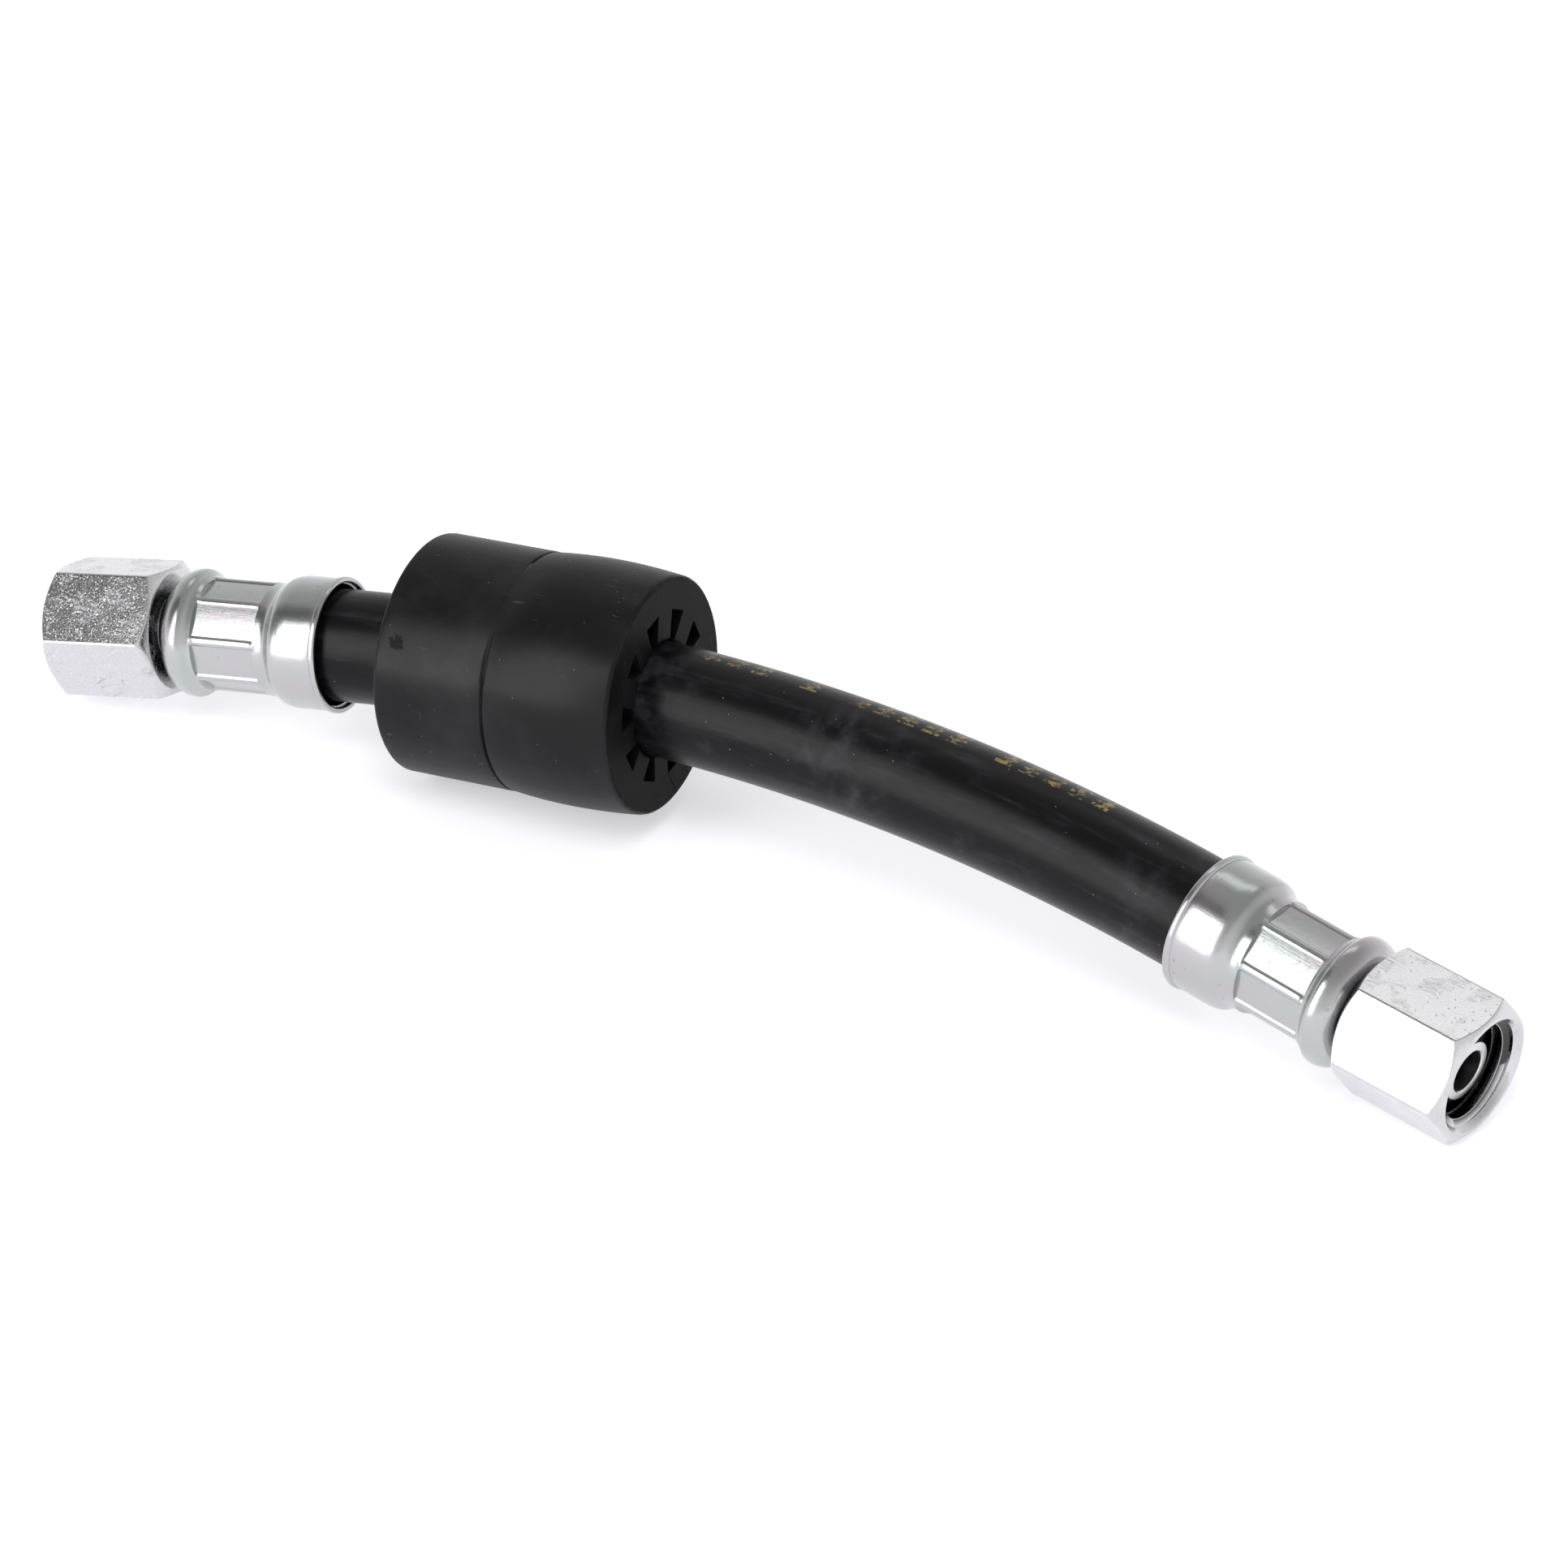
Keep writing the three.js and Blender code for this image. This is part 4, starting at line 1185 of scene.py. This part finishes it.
def paint_bore_shade(mesh, place, start, reach, crest=math.inf, limit=math.inf):
    """How deep each point lies, for painted shade in a bore: rising to 1 over a reach behind the start, and
    1 in the thread.
    """
    back = place.inverted()
    layer = mesh.attributes.new("sunk", "FLOAT", "POINT")
    for vertex, mark in zip(mesh.vertices, layer.data):
        x, y, z = back @ vertex.co
        radius = math.hypot(y, z)
        deep = (start - x) / reach
        groove = (radius - crest) / CREST_EDGE if x < start + GROOVE_LEAD else 0
        inside = radius < limit and x > start - PAINTED_SHADE_LENGTH
        mark.value = min(1, max(0, deep, groove)) if inside else 0


def thread_ridge(scene, tree, material, place):
    """The thread's ridge along the nut's bore."""
    sizes = scene.nut_sizes
    back = scene.ferrule_sizes.length + sizes.behind
    start = back + sizes.back_wall + sizes.thread_start
    end = back + sizes.length - sizes.mouth_depth - sizes.thread_end
    half = sizes.thread_pitch * 0.43
    crest = sizes.thread_pitch * 0.09
    depth = sizes.thread_depth
    foot = crest + (half - crest) * CREST_EDGE / depth
    section = [(-0.05 * MM, -half), (depth - CREST_EDGE, -foot), (depth, -crest)]
    section += [(x, -y) for x, y in reversed(section)]
    line = bpy.data.meshes.new("Thread section")
    line.from_pydata([(x, y, 0) for x, y in section], [(i, (i + 1) % 6) for i in range(6)], [])
    source = place_object("Thread section", line)
    values = {
        "Turns": (end - start) / sizes.thread_pitch,
        "Radius": sizes.thread / 2,
        "Length": end - start,
        "Material": material,
    }
    lying = place @ Matrix.Translation((start, 0, 0)) @ Matrix.Rotation(math.pi / 2, 4, "Y")
    return grown("Thread ridge", source, tree, values, 25, lying)


def nut_sector(scene):
    """One sixth of a nut, centred on a corner: outside, faces, countersink, bore and back hole."""
    sizes = scene.nut_sizes
    half = math.pi / 6
    apothem = sizes.flats / 2
    corner = apothem / math.cos(half)
    heart = corner - sizes.corner / math.sin(math.pi / 3)
    meets = math.atan2(sizes.corner * math.sin(half), heart + sizes.corner * math.cos(half))
    beyond = [meets + 0.006, *np.linspace(meets + 0.02, half, 12)]
    fractions = np.concatenate([np.linspace(0, meets, 4), beyond])
    angles = np.concatenate([-fractions[::-1][:-1], fractions])
    turn = np.abs(angles)
    round_r = heart * np.cos(turn) + np.sqrt(np.maximum(sizes.corner**2 - (heart * np.sin(turn)) ** 2, 0))
    hexagon = np.where(turn <= meets, round_r, apothem / np.cos(half - turn))
    back = scene.ferrule_sizes.length + sizes.behind
    front = back + sizes.length
    face = sizes.face / 2
    slope = math.tan(sizes.chamfer)
    chamfer = (hexagon - face) * slope
    bevel = sizes.bevel / 2
    ones = np.ones_like(angles)
    rows = [(back * ones, (face - bevel) * ones)]

    def outside(base, sign):
        """A face's rim, its chamfer and the flats beside it; sign is the way from the face."""
        inner = np.maximum(chamfer - bevel * 1.6, bevel)
        return [
            (base + sign * bevel * 0.4 * ones, (face + bevel * 0.7) * ones),
            (base + sign * inner, face + inner / slope),
            (base + sign * (chamfer - bevel * 0.7), face + (chamfer - bevel * 0.7) / slope),
            (base + sign * (chamfer + bevel), hexagon),
            (base + sign * (chamfer + bevel * 2), hexagon),
        ]

    rows += outside(back, 1)
    span = sizes.length
    rows += [((back + span * share) * ones, hexagon) for share in (0.15, 0.3, 0.45, 0.6, 0.75, 0.87)]
    rows += outside(front, -1)[::-1]
    mouth, major, hole = sizes.mouth / 2, sizes.thread / 2, sizes.hole / 2
    rows += [(front * ones, (face - bevel) * ones), (front * ones, (mouth + bevel * 0.5) * ones)]
    rows += [((front - bevel * 0.4) * ones, (mouth - bevel * 0.2) * ones)]
    sunk = front - sizes.mouth_depth
    rows += [((front + sunk) / 2 * ones, (mouth + major) / 2 * ones), (sunk * ones, major * ones)]
    wall = back + sizes.back_wall
    relief = 1.1 * MM
    cut = sunk - wall - relief
    rows += [((sunk - cut * share) * ones, major * ones) for share in (0.02, 0.25, 0.5, 0.75, 1)]
    edge = 0.2 * MM
    ends = [(wall + edge * 3, major + edge / 2), (wall, major - edge)]
    ends += [(wall - (major - hole) * 0.12, hole + edge), (wall - edge * 1.5, hole)]
    ends += [(back + edge, hole), (back, hole + edge), (back, face - bevel * 2)]
    rows += [(x * ones, r * ones) for x, r in ends]
    return np.array([about_x(x, r, angles) for x, r in rows])


def direction(azimuth, elevation):
    """The unit vector towards a direction, whose azimuth 0 is -Y and 90 degrees +X."""
    flat = math.cos(elevation)
    return Vector((math.sin(azimuth) * flat, -math.cos(azimuth) * flat, math.sin(elevation)))


class SCENE_OT_set_hose_stage(bpy.types.Operator):
    """Sets the floor, the lamps, the room and the camera"""

    bl_idname = "scene.set_hose_stage"
    bl_label = "Stage"

    def execute(self, context):
        scene = context.scene
        sizes = scene.stage_sizes
        scene.view_settings.view_transform = "Standard"
        target = Vector(sizes.target)
        back = direction(sizes.azimuth, sizes.elevation)
        camera = bpy.data.objects.new("Camera", bpy.data.cameras.new("Camera"))
        camera.data.lens = sizes.lens
        camera.data.sensor_width = 36
        camera.data.clip_start = 0.01
        camera.data.clip_end = 20
        camera.location = target + back * sizes.distance
        camera.rotation_euler = (-back).to_track_quat("-Z", "Y").to_euler()
        scene.collection.objects.link(camera)
        scene.camera = camera
        self.make_floor(sizes)
        self.make_room(scene, sizes)
        self.make_lamps(scene)
        return {"FINISHED"}

    def make_floor(self, sizes):
        """A pale floor that camera and mirror rays see a little paler still."""
        work = bmesh.new()
        bmesh.ops.create_grid(work, x_segments=8, y_segments=8, size=2.5)
        mesh = bpy.data.meshes.new("studio_floor")
        work.to_mesh(mesh)
        work.free()
        glow = sizes.floor_glow
        shade = Shade("Studio floor", Roughness=0.9, Specular_IOR_Level=0.0, Emission_Strength=glow)
        tone = shade.noise(shade.place(), 3, 2) * 0.3
        colour = shade.mix(tone, sizes.floor, (0.86, 0.85, 0.91))
        rays = shade.node("ShaderNodeLightPath").socket.node.outputs
        kinds = ("Camera", "Glossy", "Transmission")
        camera, glossy, clear = (Term(shade, rays[f"Is {kind} Ray"]) for kind in kinds)
        seen = camera.maths("MAXIMUM", clear).maths("MAXIMUM", glossy)
        pale = shade.mix(seen, (0, 0, 0), (1, 1, 1))
        mesh.materials.append(shade.finish(Base_Color=colour, Emission_Color=pale))
        place_object("studio_floor", mesh)

    def make_room(self, scene, sizes):
        """A room that is pale at the horizon, darker overhead and darker still on one side."""
        world = bpy.data.worlds.new("Studio room")
        world.use_nodes = True
        scene.world = world
        tree = world.node_tree
        background = tree.nodes["Background"]
        background.inputs["Color"].default_value = (*sizes.room, 1)
        seen = tree.nodes.new("ShaderNodeTexCoord").outputs["Generated"]
        height = joined(tree, "ShaderNodeSeparateXYZ", {0: seen}).outputs["Z"]
        dark = {1: direction(sizes.dark_azimuth, sizes.dark_elevation)}
        near = joined(tree, "ShaderNodeVectorMath", {0: seen}, {"operation": "DOT_PRODUCT"}, dark)
        fade = smooth_range(tree, height, (0.1, 0.95), (sizes.horizon, sizes.ceiling))
        reach = (math.cos(sizes.dark_reach), math.cos(sizes.dark_reach * 0.5))
        shadow = smooth_range(tree, near.outputs["Value"], reach, (1, sizes.dark_share))
        tree.links.new(tree_maths(tree, "MULTIPLY", fade, shadow), background.inputs["Strength"])

    def make_lamps(self, scene):
        """Softboxes by direction, height, distance, size, brightness and whether metal shows them."""
        lamps = (
            ("Front softbox", -27, 24, 1.2, (0.5, 1.05), 4.0, True),
            ("Overhead key", 20, 62, 1.2, (0.5, 0.5), 4.4, False),
            ("Back top", -160, 57, 1.3, (0.7, 0.3), 0.9, True),
        )
        for name, azimuth, height, distance, size, brightness, mirrored in lamps:
            light = bpy.data.lights.new(name, "AREA")
            light.shape = "RECTANGLE"
            light.size, light.size_y = size
            light.energy = brightness * math.pi * size[0] * size[1]
            lamp = bpy.data.objects.new(name, light)
            lamp.visible_glossy = mirrored
            lamp.location = direction(math.radians(azimuth), math.radians(height)) * distance
            lamp.rotation_euler = (-lamp.location).to_track_quat("-Z", "Y").to_euler()
            scene.collection.objects.link(lamp)


class VIEW3D_PT_fuel_hose(bpy.types.Panel):
    """Lists the steps that build the fuel hose"""

    bl_label = "Fuel Hose"
    bl_idname = "VIEW3D_PT_fuel_hose"
    bl_space_type = "VIEW_3D"
    bl_region_type = "UI"
    bl_category = "Fuel Hose"

    def draw(self, context):
        for step in STEPS:
            self.layout.operator(step.bl_idname, text=step.bl_label)


GROUPS = {
    "hose_sizes": HoseSizes,
    "bush_sizes": BushSizes,
    "ferrule_sizes": FerruleSizes,
    "nipple_sizes": NippleSizes,
    "nut_sizes": NutSizes,
    "stage_sizes": StageSizes,
}
STEPS = (
    SCENE_OT_set_hose_stage,
    MESH_OT_build_ferrules,
    MESH_OT_build_nipples,
    MESH_OT_build_union_nuts,
    MESH_OT_build_fuel_hose,
    MESH_OT_build_rubber_bush,
)
CLASSES = (*GROUPS.values(), *STEPS, VIEW3D_PT_fuel_hose)


def register():
    for item in CLASSES:
        bpy.utils.register_class(item)
    for name, group in GROUPS.items():
        setattr(bpy.types.Scene, name, bpy.props.PointerProperty(type=group))


def unregister():
    for name in GROUPS:
        delattr(bpy.types.Scene, name)
    for item in reversed(CLASSES):
        bpy.utils.unregister_class(item)


def main():
    register()
    for step in STEPS:
        area, name = step.bl_idname.split(".")
        getattr(getattr(bpy.ops, area), name)()


if __name__ == "__main__":
    main()
